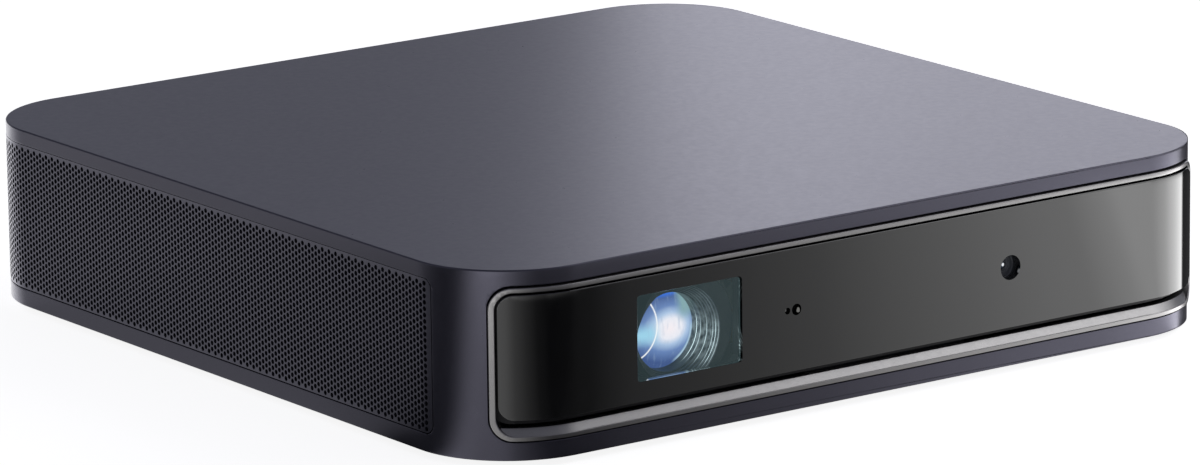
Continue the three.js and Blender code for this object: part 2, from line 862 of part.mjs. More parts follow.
// Chassis plate with board standoffs and a rail behind the front frame
function makeChassis() {
  const plate = upright(bodyOutline(-bezelDepth - fit), chassisLow, chassisTop);
  const holes = [
    ...cornerPlaces(bossPlace).map(([x, y]) => circle(x, y, bossRadius + fit, smallBoreSteps)),
    circle(rightFanX, rightFanY, fanInletRadius),
    circle(leftFanX, leftFanY, fanInletRadius),
    circle(0, tripodY, tripodBossRadius + fit),
  ].map((outline) => upright(outline, chassisLow - fit, chassisTop + overrun));
  const standoffs = boardHoles().map(([x, y]) => (
    upright(circle(x, y, standoffRadius, standoffSides), chassisLow, chassisTop + standoffRise)));
  const railFront = -half + bezelDepth + fit;
  const rail = upright(box(railLeft, railRight, railFront, railFront + railThickness),
    chassisLow, chassisTop + railHeight);
  return piece('mid_frame', join(cut(plate, ...holes), ...standoffs, rail), steel);
}

// Optical engine, in a frame with its origin on the front wall below the lens

const ringBack = ringFront + ringWidth;
const mountBore = barrelRadius + fit;
const mountOuter = mountBore + mountWall;
const noseFront = glassBack + fit;
const noseBack = noseFront + noseLength;
const barrelBack = noseFront + barrelLength;
const ringPitch = gearModule * ringTeeth / 2;
const pinionPitch = gearModule * pinionTeeth / 2;
const engineFront = flangeBack + fit;
const engineBack = engineFront + engineLength;

function makeBarrel() {
  const lip = noseRadius - noseLip;
  const coneEnd = noseFront + noseConeDepth;
  const seatEnd = coneEnd + noseSeatDepth + lensThickness;
  const body = turnedY([
    [lip, noseFront], [noseRadius, noseFront], [noseRadius, noseBack], [barrelRadius, noseBack],
    [barrelRadius, barrelBack], [barrelBore, barrelBack], [barrelBore, seatEnd],
    [lensRadius + fit, seatEnd], [lensRadius + fit, coneEnd], [lip - noseStep, coneEnd],
  ]);
  return piece('lens_barrel', body, blackPlastic);
}

// Front element: domed front, flat back against the barrel's shoulder
function makeFrontLens() {
  const back = noseFront + noseConeDepth + noseSeatDepth + lensThickness - fit;
  const edge = back - lensThickness + lensBulge;
  const profile = [[0, back]];
  for (let i = 0; i <= roundSteps; i += 1) {
    const share = i / roundSteps;
    profile.push([lensRadius * (1 - share), edge - lensBulge * (1 - (1 - share) ** 2)]);
  }
  profile.splice(1, 0, [lensRadius, back]);
  return piece('front_lens', turnedY(profile), coatedGlass);
}

// Fixed tube that guides the barrel and carries the ring between two shoulders
function makeLensMount() {
  const front = noseBack + focusTravel + mountNoseGap;
  const shoulder = mountOuter + mountShoulder;
  const body = turnedY([
    [mountBore, front], [mountOuter, front],
    [mountOuter, ringFront - fit - mountShoulderWidth], [shoulder, ringFront - fit - mountShoulderWidth],
    [shoulder, ringFront - fit], [mountOuter, ringFront - fit],
    [mountOuter, ringBack + fit], [shoulder, ringBack + fit],
    [shoulder, ringBack + fit + mountShoulderWidth], [mountOuter, ringBack + fit + mountShoulderWidth],
    [mountOuter, flangeBack - flangeThickness], [flangeRadius, flangeBack - flangeThickness],
    [flangeRadius, flangeBack], [mountBore, flangeBack],
  ]);
  return piece('lens_mount', body, castMetal);
}

// Gear outline with straight-flanked teeth, the first tooth centred on turn
function gearOutline(teeth, turn) {
  const pitch = gearModule * teeth / 2;
  const tip = pitch + gearModule * addendumShare;
  const root = pitch - gearModule * dedendumShare;
  const halfTooth = (gearModule * Math.PI / 2 - gearBacklash) / 2;
  const tipHalf = (halfTooth - (tip - pitch) * Math.tan(gearSlope)) / tip;
  const rootHalf = (halfTooth + (pitch - root) * Math.tan(gearSlope)) / root;
  const points = [];
  for (let i = 0; i < teeth; i += 1) {
    const middle = turn + 2 * Math.PI * i / teeth;
    for (const [radius, angle] of [[root, -rootHalf], [tip, -tipHalf], [tip, tipHalf], [root, rootHalf]]) {
      const place = middle + angle;
      points.push(new THREE.Vector2(radius * Math.cos(place), radius * Math.sin(place)));
    }
  }
  return points;
}

function makeFocusRing() {
  const bore = circle(0, 0, mountOuter + 2 * fit);
  return piece('focus_ring', alongY(gearOutline(ringTeeth, 0), ringFront, ringBack, [bore]), gearPlastic);
}

// Stepper motor and pinion beside the ring
function makeFocusDrive() {
  const motorFront = ringBack + 2 * fit + mountShoulderWidth;
  const motorBack = flangeBack - flangeThickness - fit;
  const teeth = alongY(gearOutline(pinionTeeth, Math.PI / pinionTeeth), ringFront - fit, ringBack + fit);
  const shaft = turnedY([
    [0, ringBack], [motorShaftRadius, ringBack],
    [motorShaftRadius, motorFront + shaftGrip], [0, motorFront + shaftGrip],
  ], smallBoreSteps);
  const bore = motorShaftRadius + fit;
  const motor = turnedY([
    [0, motorFront + shaftGrip + fit], [bore, motorFront + shaftGrip + fit], [bore, motorFront],
    [motorRadius, motorFront], [motorRadius, motorBack], [0, motorBack],
  ]);
  return group(ringPitch + pinionPitch, 0, 0,
    piece('focus_pinion', join(teeth, shaft), gearPlastic),
    piece('focus_motor', motor, steel));
}

function makeEngine() {
  const outline = chamferedBox(
    -engineLeft, engineRight, engineFront, engineBack, engineNoseChamfer, engineTailChamfer);
  const block = upright(outline, seat, seat + engineHeight);
  const bore = turnedY([
    [0, engineFront - overrun], [mountBore, engineFront - overrun],
    [mountBore, engineFront + engineBoreDepth], [0, engineFront + engineBoreDepth],
  ]).translate([0, 0, lensZ]);
  const low = seat + engineHeight + fit;
  const lid = chamferedBox(
    -engineLeft + coverInset, engineRight - coverInset, engineFront + coverInset, engineBack - coverInset,
    engineNoseChamfer, engineTailChamfer);
  const ribs = Math.floor((engineLength - coverInset) / coverRibPitch);
  const ribbed = alongX(
    comb(engineFront, ribs, coverRibPitch, coverRibWidth, low, low + coverThickness, low + coverThickness + coverRib),
    -engineLeft, engineRight);
  return [
    piece('engine_housing', block.subtract(bore), castMetal),
    piece('engine_cover', ribbed.intersect(upright(lid, low, ceiling)), castMetal),
  ];
}

// Imager board on the engine's left side, with the heat sink on it
function makeImager() {
  const right = -engineLeft - fit;
  const left = right - imagerBoardThickness;
  const middle = (engineFront + engineBack) / 2;
  const board = alongX(
    roundedBox(middle - imagerBoardLength / 2, middle + imagerBoardLength / 2, seat, seat + imagerBoardHeight,
      edgeBreak, chamferSteps),
    left, right);
  const length = (imagerFins - 1) * imagerSinkPitch + finThickness;
  const fins = comb(-length / 2, imagerFins, imagerSinkPitch, finThickness, 0, imagerSinkBase,
    imagerSinkBase + imagerSinkFin);
  const turned = fins.map((point) => new THREE.Vector2(left - fit - point.y, middle + point.x));
  return [
    piece('dmd_board', board, boardGreen),
    piece('dmd_heatsink', upright(turned, seat, seat + imagerSinkHeight), sinkMetal),
  ];
}

// Laser module on the engine's right side: finned block on a wider foot
function makeLaser() {
  const left = engineRight + fit;
  const front = engineFront + laserStart;
  const back = front + laserLength;
  const right = left + laserWidth;
  const profile = [
    [left, seat], [right, seat], [right, seat + laserFoot], [right - laserEar, seat + laserFoot],
    [right - laserEar, seat + laserHeight - laserChamfer], [right - laserEar - laserChamfer, seat + laserHeight],
    [left, seat + laserHeight],
  ].map(([x, z]) => new THREE.Vector2(x, z));
  return piece('laser_module', alongY(profile, front, back), copper);
}

function makeOptics() {
  return group(lensX, -half, 0,
    group(0, 0, lensZ, makeBarrel(), makeFrontLens(), makeLensMount(), makeFocusRing(), makeFocusDrive()),
    ...makeEngine(), ...makeImager(), makeLaser());
}

// Phosphor wheel with its motor and bracket
function makeWheel() {
  const hubRight = wheelThickness + wheelHubLength;
  const motorLeft = hubRight + fit;
  const motorRight = motorLeft + wheelMotorLength;
  const wheel = turnedX([
    [0, 0], [wheelRadius, 0], [wheelRadius, wheelThickness], [wheelHubRadius, wheelThickness],
    [wheelHubRadius, hubRight], [wheelShaftRadius, hubRight],
    [wheelShaftRadius, hubRight + wheelShaftLength], [0, hubRight + wheelShaftLength],
  ]);
  const bore = wheelShaftRadius + fit;
  const boreEnd = hubRight + wheelShaftLength + fit;
  const motor = turnedX([
    [0, boreEnd], [bore, boreEnd], [bore, motorLeft], [wheelMotorRadius, motorLeft],
    [wheelMotorRadius, motorRight], [0, motorRight],
  ]);
  const plateLeft = motorRight + fit;
  const plateRight = plateLeft + bracketThickness;
  const floor = -wheelRise;
  const angled = [
    [plateLeft, floor], [plateRight + bracketFoot, floor], [plateRight + bracketFoot, floor + bracketThickness],
    [plateRight, floor + bracketThickness], [plateRight, wheelMotorRadius], [plateLeft, wheelMotorRadius],
  ].map(([x, z]) => new THREE.Vector2(x, z));
  return group(wheelX, wheelY, seat + wheelRise,
    piece('phosphor_wheel', wheel, phosphor),
    piece('wheel_motor', motor, steel),
    piece('wheel_bracket', alongY(angled, -bracketWidth / 2, bracketWidth / 2), steel));
}

// Round pipe along straight runs with equal bends
function pipe(places) {
  const path = new THREE.CurvePath();
  let from = places[0];
  for (let i = 1; i + 1 < places.length; i += 1) {
    const corner = places[i];
    const before = corner.clone().lerp(places[i - 1], pipeBend / corner.distanceTo(places[i - 1]));
    const after = corner.clone().lerp(places[i + 1], pipeBend / corner.distanceTo(places[i + 1]));
    path.add(new THREE.LineCurve3(from, before));
    path.add(new THREE.QuadraticBezierCurve3(before, corner, after));
    from = after;
  }
  path.add(new THREE.LineCurve3(from, places[places.length - 1]));
  const section = new THREE.Shape(circle(0, 0, pipeRadius, pipeSides));
  return solid(new THREE.ExtrudeGeometry(section, {
    extrudePath: path, steps: pipeSteps * places.length, bevelEnabled: false,
  }));
}

const stackLeft = rightFanX + fanOutletReach + fit;
const stackFront = rightFanY - fanInnerRadius - fanGrowth - fanWall;
const stackBack = stackFront + (stackFins - 1) * stackPitch + finThickness;
const stackRight = half - stackWallGap;

function makeHeatPath() {
  const laserRight = lensX + engineRight + fit + laserWidth - laserEar;
  const laserMiddle = -half + engineFront + laserStart + laserLength / 2;
  const corridor = stackBack + pipeCorridor;
  const end = (stackLeft + stackRight) / 2;
  const pipes = [['heat_pipe_lower', pipeLowRise], ['heat_pipe_upper', pipeHighRise]].map(([name, rise]) => {
    const z = seat + rise;
    const route = [
      new THREE.Vector3(laserRight + fit, laserMiddle, z),
      new THREE.Vector3(laserRight + pipeOut, laserMiddle, z),
      new THREE.Vector3(laserRight + pipeOut, corridor, z),
      new THREE.Vector3(end, corridor, z),
      new THREE.Vector3(end, stackBack + fit, z),
    ];
    return piece(name, pipe(route), copper);
  });
  const fins = comb(stackFront, stackFins, stackPitch, finThickness, seat, seat + stackBase, seat + stackHeight);
  return [...pipes, piece('laser_heatsink', alongX(fins, stackLeft, stackRight), sinkMetal)];
}

// Blower, with its outlet towards +X

function volute(grow, reach) {
  const points = [];
  const from = fanTongueAngle;
  const to = 3 * Math.PI / 2;
  for (let i = 0; i <= fanSpiralSteps; i += 1) {
    const share = i / fanSpiralSteps;
    const angle = from + (to - from) * share;
    const radius = fanInnerRadius + fanGrowth * share + grow;
    points.push(new THREE.Vector2(radius * Math.cos(angle), radius * Math.sin(angle)));
  }
  points.push(new THREE.Vector2(reach, points[points.length - 1].y), new THREE.Vector2(reach, points[0].y));
  return points;
}

function makeFan(side) {
  const outer = upright(volute(fanWall, fanOutletReach), 0, fanHeight);
  const inner = upright(volute(0, fanOutletReach + overrun), fanWall, fanHeight - fanWall);
  const inlet = upright(circle(0, 0, fanInletRadius), -overrun, fanWall + fit);
  const stub = upright(circle(0, 0, fanStubRadius, smallBoreSteps), fanWall + rotorGap + rotorFloor, fanHeight);
  const housing = join(cut(outer, inner, inlet), stub);
  const low = fanWall + rotorGap;
  const high = fanHeight - fanWall - rotorGap;
  const hub = upright(circle(0, 0, rotorHubRadius), low, high,
    [circle(0, 0, fanStubRadius + fit, smallBoreSteps)]);
  const blades = [];
  for (let i = 0; i < bladeCount; i += 1) {
    blades.push(upright(bladeOutline(2 * Math.PI * i / bladeCount), low, high));
  }
  return [
    piece(`${side}_fan_housing`, housing, blackPlastic),
    piece(`${side}_fan_rotor`, join(hub, ...blades), blackPlastic),
  ];
}

// Swept blade from inside the hub's wall to the rotor's rim
function bladeOutline(turn) {
  const root = rotorHubRadius * bladeRootShare;
  const edge = (offset) => [0, 1, 2, 3].map((step) => {
    const share = step / 3;
    const radius = root + (rotorRadius - root) * share;
    const angle = turn + bladeSweep * share * share + offset / radius;
    return new THREE.Vector2(radius * Math.cos(angle), radius * Math.sin(angle));
  });
  return [...edge(-bladeThickness / 2), ...edge(bladeThickness / 2).reverse()];
}

function makeFans() {
  const right = group(rightFanX, rightFanY, seat, ...makeFan('right'));
  const left = group(leftFanX, leftFanY, seat, ...makeFan('left'));
  left.rotation.z = Math.PI;
  return [right, left];
}

// Circuit boards

function mainBoardHoles() {
  return [mainBoardLeft + boardHoleInset, mainBoardRight - boardHoleInset].flatMap((x) => (
    [mainBoardFront + boardHoleInset, mainBoardBack - boardHoleInset - socketDepth].map((y) => [x, y])));
}

function powerBoardHoles() {
  return [powerBoardLeft + boardHoleInset, powerBoardRight - boardHoleInset].flatMap((x) => (
    [powerBoardFront + boardHoleInset, powerBoardBack - boardHoleInset].map((y) => [x, y])));
}

function boardHoles() {
  return [...mainBoardHoles(), ...powerBoardHoles()];
}

function board(left, right, front, back, holes) {
  const drilled = holes.map(([x, y]) => circle(x, y, boardHoleRadius, standoffSides));
  return upright(roundedBox(left, right, front, back, edgeBreak, chamferSteps), boardLow, boardTop, drilled);
}

function makeBoards() {
  const main = board(mainBoardLeft, mainBoardRight, mainBoardFront, mainBoardBack, mainBoardHoles());
  const can = loft([
    { points: box(-shieldSize / 2, shieldSize / 2, -shieldSize / 2, shieldSize / 2), z: boardTop + fit },
    { points: box(-shieldSize / 2, shieldSize / 2, -shieldSize / 2, shieldSize / 2), z: boardTop + shieldHeight / 2 },
    {
      points: box(-shieldSize / 2 + shieldChamfer, shieldSize / 2 - shieldChamfer,
        -shieldSize / 2 + shieldChamfer, shieldSize / 2 - shieldChamfer),
      z: boardTop + fit + shieldHeight,
    },
  ]);
  const powerMiddle = (powerBoardLeft + powerBoardRight) / 2;
  const powerCentre = (powerBoardFront + powerBoardBack) / 2;
  const parts = [
    [powerMiddle - inductorRadius - fit, powerCentre - inductorRadius, inductorRadius, inductorHeight],
    [powerMiddle + inductorRadius + fit, powerCentre - inductorRadius, inductorRadius, inductorHeight],
    [powerMiddle - inductorRadius, powerCentre + inductorRadius, capacitorRadius, capacitorHeight],
    [powerMiddle + inductorRadius, powerCentre + inductorRadius, capacitorRadius, capacitorHeight],
  ].map(([x, y, radius, height]) => upright(circle(x, y, radius, componentSides), boardLow, boardTop + height));
  const power = join(
    board(powerBoardLeft, powerBoardRight, powerBoardFront, powerBoardBack, powerBoardHoles()), ...parts);
  return [
    piece('main_board', main, boardGreen),
    group(shieldX, shieldY, 0, piece('shield_can', can, steel)),
    piece('power_board', power, boardGreen),
  ];
}

function makeAntennas() {
  const outline = roundedBox(
    -antennaLength / 2, antennaLength / 2, seat, seat + antennaHeight, edgeBreak, chamferSteps);
  return [['left_antenna', -antennaX], ['right_antenna', antennaX]].map(([name, x]) => {
    const body = alongX(outline, -antennaThickness / 2, antennaThickness / 2);
    return group(x, antennaY, 0, piece(name, body, boardGreen));
  });
}

// Speaker with its driver facing +X

function makeSpeaker(side) {
  const width = speakerRight - speakerLeft;
  const length = speakerBack - speakerFront;
  const middle = speakerHeight / 2;
  const enclosure = upright(
    roundedBox(-width, 0, -length / 2, length / 2, speakerCorner), 0, speakerHeight);
  const recess = turnedX([
    [0, -speakerRecessDepth], [speakerRecessRadius, -speakerRecessDepth],
    [speakerRecessRadius, overrun], [0, overrun],
  ]).translate([0, 0, middle]);
  const rim = speakerRecessRadius - fit;
  const back = -coneSet - coneDepth;
  const cone = turnedX([
    [0, back - coneThickness + dustCapRise], [dustCapRadius, back - coneThickness],
    [rim, -coneSet - coneThickness], [rim, -coneSet],
    [dustCapRadius, back], [dustCapRadius / 2, back + dustCapRise], [0, back + dustCapRise + coneThickness],
  ]).translate([0, 0, middle]);
  return [
    piece(`${side}_speaker_box`, enclosure.subtract(recess), blackPlastic),
    piece(`${side}_speaker_cone`, cone, paperCone),
  ];
}

function makeSpeakers() {
  const middle = (speakerFront + speakerBack) / 2;
  const right = group(speakerRight, middle, seat, ...makeSpeaker('right'));
  const left = group(-speakerRight, middle, seat, ...makeSpeaker('left'));
  left.rotation.z = Math.PI;
  return [right, left];
}

// Rear panel and sockets, in a frame with its origin on the rear wall

const socketSeat = boardTop + fit;
const panelFace = -rearInset;
const panelBack = panelFace - rearPlate;
const mouth = panelFace - mouthSink;
const socketFace = panelBack - rearFlange - fit;
const videoMiddle = socketSeat + videoHeight / 2;
const usbMiddle = socketSeat + usbHeight / 2;
const powerMiddleZ = socketSeat + powerSize / 2;
const audioMiddle = socketSeat + audioSize / 2;

function makeRearPanel() {
  const low = bodyLow + rearLow;
  const high = bodyLow + rearHigh;
  const wall = -shellWall - fit;
  const inner = alongY(
    roundedBox(-rearHalfWidth, rearHalfWidth, low, high, rearCorner), wall - fit, panelFace);
  const flange = alongY(
    roundedBox(-rearHalfWidth - rearLip, rearHalfWidth + rearLip, low - rearLip / 2, high + rearLip, rearCorner),
    wall - rearFlange, wall);
  const rectangle = (x, z, width, height) => (
    box(x - width / 2 - fit, x + width / 2 + fit, z - height / 2 - fit, z + height / 2 + fit));
  const openings = [
    rectangle(videoX, videoMiddle, videoWidth, videoHeight),
    rectangle(usbX, usbMiddle, usbWidth, usbHeight),
    circle(powerX, powerMiddleZ, powerCollarRadius + fit),
    circle(audioX, audioMiddle, audioCollarRadius + fit),
    buttonOutline(fit),
  ].map((outline) => alongY(outline, wall - rearFlange - overrun, panelFace + overrun));
  return piece('rear_panel', cut(join(inner, flange), ...openings), blackPlastic);
}

// Folded metal mouth with a moulded tongue set back inside it
function makeFlatSocket(name, x, width, height) {
  const outer = box(-width / 2, width / 2, 0, height);
  const room = box(-width / 2 + socketWall, width / 2 - socketWall, socketWall, height - socketWall);
  const back = mouth - socketDepth;
  const shell = alongY(outer, back, mouth, [room]);
  const blockWide = width / 2 - socketWall - fit;
  const blockLow = socketWall + fit;
  const blockHigh = height - socketWall - fit;
  const tongueHigh = blockHigh - fit;
  const profile = [
    [back, blockLow], [back + insertBlock, blockLow], [back + insertBlock, tongueHigh - tongueThickness],
    [mouth - tongueSetback, tongueHigh - tongueThickness], [mouth - tongueSetback, tongueHigh],
    [back + insertBlock, tongueHigh], [back + insertBlock, blockHigh], [back, blockHigh],
  ].map(([y, z]) => new THREE.Vector2(y, z));
  return group(x, 0, socketSeat,
    piece(`${name}_shell`, shell, steel),
    piece(`${name}_insert`, alongX(profile, -blockWide, blockWide), blackPlastic));
}

// Moulded socket with a round collar that fills its hole in the panel
function roundSocket(size, collarRadius, boreRadius, boreEnd, pinRadius, pinSetback) {
  const back = mouth - socketDepth;
  const block = alongY(roundedBox(-size / 2, size / 2, -size / 2, size / 2, edgeBreak, chamferSteps), back, socketFace);
  const collar = alongY(circle(0, 0, collarRadius), socketFace - fit, mouth);
  const bore = alongY(circle(0, 0, boreRadius), boreEnd, mouth + overrun);
  const body = cut(join(block, collar), bore);
  if (!pinRadius) return body;
  return join(body, alongY(circle(0, 0, pinRadius, smallBoreSteps), boreEnd - fit, mouth - pinSetback));
}

function buttonOutline(grow) {
  const wide = buttonWidth / 2 + grow;
  const high = buttonHeight / 2 + grow;
  return roundedBox(buttonX - wide, buttonX + wide, audioMiddle - high, audioMiddle + high, high);
}

function makeButton() {
  const flangeFront = -shellWall - fit - rearFlange - fit;
  const flangeRear = flangeFront - buttonFlangeThickness;
  const cap = alongY(buttonOutline(0), flangeFront - fit, panelFace + buttonProud);
  const flange = alongY(buttonOutline(buttonFlange), flangeRear, flangeFront);
  const stem = alongY(circle(buttonX, audioMiddle, buttonStem / 2, standoffSides),
    flangeRear - buttonStemLength, flangeFront);
  const switchFront = flangeRear - buttonStemLength - buttonTravel - fit;
  const housing = alongY(
    roundedBox(buttonX - switchWidth / 2, buttonX + switchWidth / 2, socketSeat, audioMiddle + switchWidth / 2,
      edgeBreak, chamferSteps),
    switchFront - switchDepth, switchFront);
  return [
    piece('power_button', join(cap, flange, stem), blackPlastic),
    piece('power_switch', housing, blackPlastic),
  ];
}

function makeRear() {
  const back = mouth - socketDepth;
  const powerBody = roundSocket(
    powerSize, powerCollarRadius, powerBoreRadius, back + insertBlock, powerPinRadius, powerPinSetback);
  const audioBody = roundSocket(audioSize, audioCollarRadius, audioBoreRadius, mouth - audioBoreDepth, 0, 0);
  return group(0, half, 0,
    makeRearPanel(),
    makeFlatSocket('hdmi', videoX, videoWidth, videoHeight),
    makeFlatSocket('usb', usbX, usbWidth, usbHeight),
    group(powerX, 0, powerMiddleZ, piece('dc_socket', powerBody, blackPlastic)),
    group(audioX, 0, audioMiddle, piece('audio_socket', audioBody, blackPlastic)),
    ...makeButton());
}

const projector = new THREE.Group();
projector.name = 'video_projector';
projector.add(
  makeShell(), makeBase(), ...makeFeet(), makeTripodInsert(), ...makeGrilles(),
  makeBezel(), makeGlass(), makeWindow(), makeFrontFrame(), makeCamera(), makeSensor(), makeChassis(),
  makeOptics(), makeWheel(), ...makeHeatPath(), ...makeFans(), ...makeBoards(), ...makeAntennas(),
  ...makeSpeakers(), makeRear(),
);
// The glass stands proud of the front, so the body moves back by half of that to centre the whole
projector.position.y = glassProud / 2;

export default projector;
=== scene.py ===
"""Small video projector with a wrap-round glass front and perforated sides, modelled in millimetres"""
import math

import bmesh
import bpy
from mathutils import Matrix, Vector


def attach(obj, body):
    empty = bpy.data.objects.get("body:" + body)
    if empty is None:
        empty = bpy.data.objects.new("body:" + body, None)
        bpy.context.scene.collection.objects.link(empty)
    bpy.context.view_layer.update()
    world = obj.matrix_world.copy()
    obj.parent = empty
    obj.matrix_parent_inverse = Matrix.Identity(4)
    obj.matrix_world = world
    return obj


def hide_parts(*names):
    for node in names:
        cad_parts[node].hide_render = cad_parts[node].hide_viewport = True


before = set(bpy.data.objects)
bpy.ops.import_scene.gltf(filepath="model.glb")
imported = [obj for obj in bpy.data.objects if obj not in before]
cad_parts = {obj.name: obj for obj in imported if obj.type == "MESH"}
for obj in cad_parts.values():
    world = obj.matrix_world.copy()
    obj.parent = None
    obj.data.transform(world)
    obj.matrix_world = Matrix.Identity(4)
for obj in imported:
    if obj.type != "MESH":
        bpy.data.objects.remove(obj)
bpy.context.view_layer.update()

MM = 0.001

# Body: half its width, corner radius, length of a corner and of the whole wall, and its heights
HALF, CORNER = 97.5, 22.5
FLAT = HALF - CORNER
ARC = CORNER * math.pi / 2
ROUND = 4 * (2 * FLAT + ARC)
MIDDLE_Y = 0.375
FRONT_Y = -HALF + MIDDLE_Y
BODY_LOW, BODY_TOP = 1.5, 40.9
WALL, TOP_WALL = 2.0, 2.4

# Openings: the band of the wall that holds them, and their ends along the wall from the middle of the front
BAND_LOW, BAND_HIGH = 5.5, 37.5
BEZEL_END = 93.5
PANEL_START, PANEL_END = 106.45, 312.55
SEAM = 0.14

# Places of the lens, the camera and the distance sensor on the front
LENS_X, LENS_Z = -46.6, 22.975
CAMERA_X, SENSOR_X = 36.4, -21.0

# Pits of the sensor: place, radius of the hole in the glass, radius of the pit behind it
SENSOR_PITS = ((SENSOR_X + 1.15, 1.2, 0.95), (SENSOR_X - 1.15, 0.7, 0.55))

# Perforation: steps between columns and between the holes of a column, radius of a hole, size of the pattern
COLUMN, ROW, HOLE = 1.205, 1.312, 0.54
ROWS, COLUMNS = 24, 169

# Bore of the lens nose, cut off the axis of the nose to where the photo shows it
BORE_X, BORE_Z, BORE_RADIUS = LENS_X - 0.4, 21.2, 8.2

# Pieces of the wall are made flat, as (along the wall, depth, height), then wrapped round the body


def on_wall(along, depth, height):
    """Place of a point of the unrolled wall, measured from the middle of the front"""
    quarter, place = divmod(along + FLAT, 2 * FLAT + ARC)
    place -= FLAT
    turn = max(place - FLAT, 0) / CORNER
    reach = CORNER - depth
    point = Vector((min(place, FLAT) + reach * math.sin(turn), -FLAT - reach * math.cos(turn), height))
    point.rotate(Matrix.Rotation(quarter * math.pi / 2, 3, "Z"))
    return point + Vector((0, MIDDLE_Y, 0))


def score_corners(mesh, faces=None):
    """Cuts the flat mesh into narrow columns where the wall bends"""
    step = 2.5
    columns = []
    for quarter in range(-1, 6):
        start = quarter * (2 * FLAT + ARC) + FLAT
        columns += [start - 1.2, start + ARC + 1.2]
        columns += [start + CORNER * math.radians(step * i) for i in range(round(90 / step) + 1)]
    reach = [vert.co.x for vert in mesh.verts]
    low, high = min(reach), max(reach)
    for column in columns:
        if not low + 0.01 < column < high - 0.01:
            continue
        if faces is None:
            geom = mesh.verts[:] + mesh.edges[:] + mesh.faces[:]
        else:
            faces = [face for face in faces if face.is_valid]
            edges = {edge for face in faces for edge in face.edges}
            geom = list({vert for face in faces for vert in face.verts}) + list(edges) + faces
        cut = bmesh.ops.bisect_plane(mesh, geom=geom, plane_co=(column, 0, 0), plane_no=(1, 0, 0),
                                     dist=0.00001)
        if faces is not None:
            faces = list({*faces, *(item for item in cut["geom"] if isinstance(item, bmesh.types.BMFace))})


def wrap(mesh):
    for vert in mesh.verts:
        vert.co = on_wall(*vert.co)


def rounded(left, right, low, high, radius, depth=0, segments=8):
    """Flat sheet facing the front, with rounded corners"""
    mesh = bmesh.new()
    middle = Matrix.Translation(((left + right) / 2, depth, (low + high) / 2))
    size = Matrix.Diagonal((right - left, high - low, 1, 1))
    place = middle @ Matrix.Rotation(math.pi / 2, 4, "X") @ size
    corners = bmesh.ops.create_grid(mesh, x_segments=1, y_segments=1, size=0.5, matrix=place)["verts"]
    if radius:
        bmesh.ops.bevel(mesh, geom=corners, offset=radius, offset_type="OFFSET", segments=segments,
                        profile=0.5, affect="VERTICES", material=-1)
    return mesh


def only_points(geom):
    return [item for item in geom if isinstance(item, bmesh.types.BMVert)]


def keep_outline(mesh):
    bmesh.ops.delete(mesh, geom=mesh.faces[:], context="FACES_ONLY")


def add(mesh, other):
    """Puts the other mesh into this one"""
    data = bpy.data.meshes.new("joined")
    other.to_mesh(data)
    other.free()
    mesh.from_mesh(data)
    bpy.data.meshes.remove(data)


def thicken(mesh, depth):
    """Turns a flat sheet into a closed plate that reaches back by depth"""
    made = bmesh.ops.extrude_face_region(mesh, geom=mesh.faces[:], use_keep_orig=True)["geom"]
    bmesh.ops.translate(mesh, vec=(0, depth, 0), verts=only_points(made))
    bmesh.ops.recalc_face_normals(mesh, faces=mesh.faces[:])
    mesh.normal_update()


def soften(mesh, edges, radius, segments=3):
    bmesh.ops.bevel(mesh, geom=edges, offset=radius, offset_type="OFFSET", segments=segments, profile=0.5,
                    affect="EDGES", material=-1)


def front_rims(mesh, depth):
    """Edges of the front face at that depth where it turns into a side"""
    return [edge for edge in mesh.edges if all(abs(vert.co.y - depth) < 0.0001 for vert in edge.verts)
            and any(abs(face.normal.y) < 0.5 for face in edge.link_faces)]


def slab(left, right, low, high, radius, front, back, edge, rim=0, narrower=1, segments=8):
    """Plate on the unrolled wall with a softened front edge, or only its rim round a narrower opening"""
    mesh = rounded(left, right, low, high, radius, front, segments)
    if rim:
        bmesh.ops.inset_region(mesh, faces=mesh.faces[:], thickness=rim, use_boundary=True,
                               use_even_offset=True)
        inner = max(mesh.faces, key=lambda face: face.calc_area())
        bmesh.ops.scale(mesh, vec=(narrower, 1, 1), verts=inner.verts[:])
        bmesh.ops.delete(mesh, geom=[inner], context="FACES")
    thicken(mesh, back - front)
    soften(mesh, front_rims(mesh, front), edge)
    return mesh


def rod(x, z, radius, front, back, steps=48):
    """Round bar along the depth of the wall"""
    mesh = bmesh.new()
    place = Matrix.Translation((x, (front + back) / 2, z)) @ Matrix.Rotation(math.pi / 2, 4, "X")
    bmesh.ops.create_cone(mesh, cap_ends=True, segments=steps, radius1=radius, radius2=radius,
                          depth=back - front, matrix=place)
    return mesh


def block(low, high, edge=0):
    """Box between two corners with softened edges"""
    mesh = bmesh.new()
    middle = [(a + b) / 2 for a, b in zip(low, high)]
    place = Matrix.Translation(middle) @ Matrix.Diagonal((*(b - a for a, b in zip(low, high)), 1))
    bmesh.ops.create_cube(mesh, size=1, matrix=place)
    if edge:
        soften(mesh, mesh.edges[:], edge, 2)
    return mesh


def carve(mesh, *tools):
    """The mesh with the solids of the tools cut out of it"""
    work = []
    for solid in (mesh, *tools):
        data = bpy.data.meshes.new("work")
        solid.to_mesh(data)
        solid.free()
        thing = bpy.data.objects.new("work", data)
        bpy.context.collection.objects.link(thing)
        work.append(thing)
    for tool in work[1:]:
        cut = work[0].modifiers.new("cut", "BOOLEAN")
        cut.operation = "DIFFERENCE"
        cut.solver = "EXACT"
        cut.object = tool
    result = bmesh.new()
    result.from_mesh(work[0].evaluated_get(bpy.context.evaluated_depsgraph_get()).to_mesh())
    for thing in work:
        data = thing.data
        bpy.data.objects.remove(thing)
        bpy.data.meshes.remove(data)
    result.normal_update()
    return result


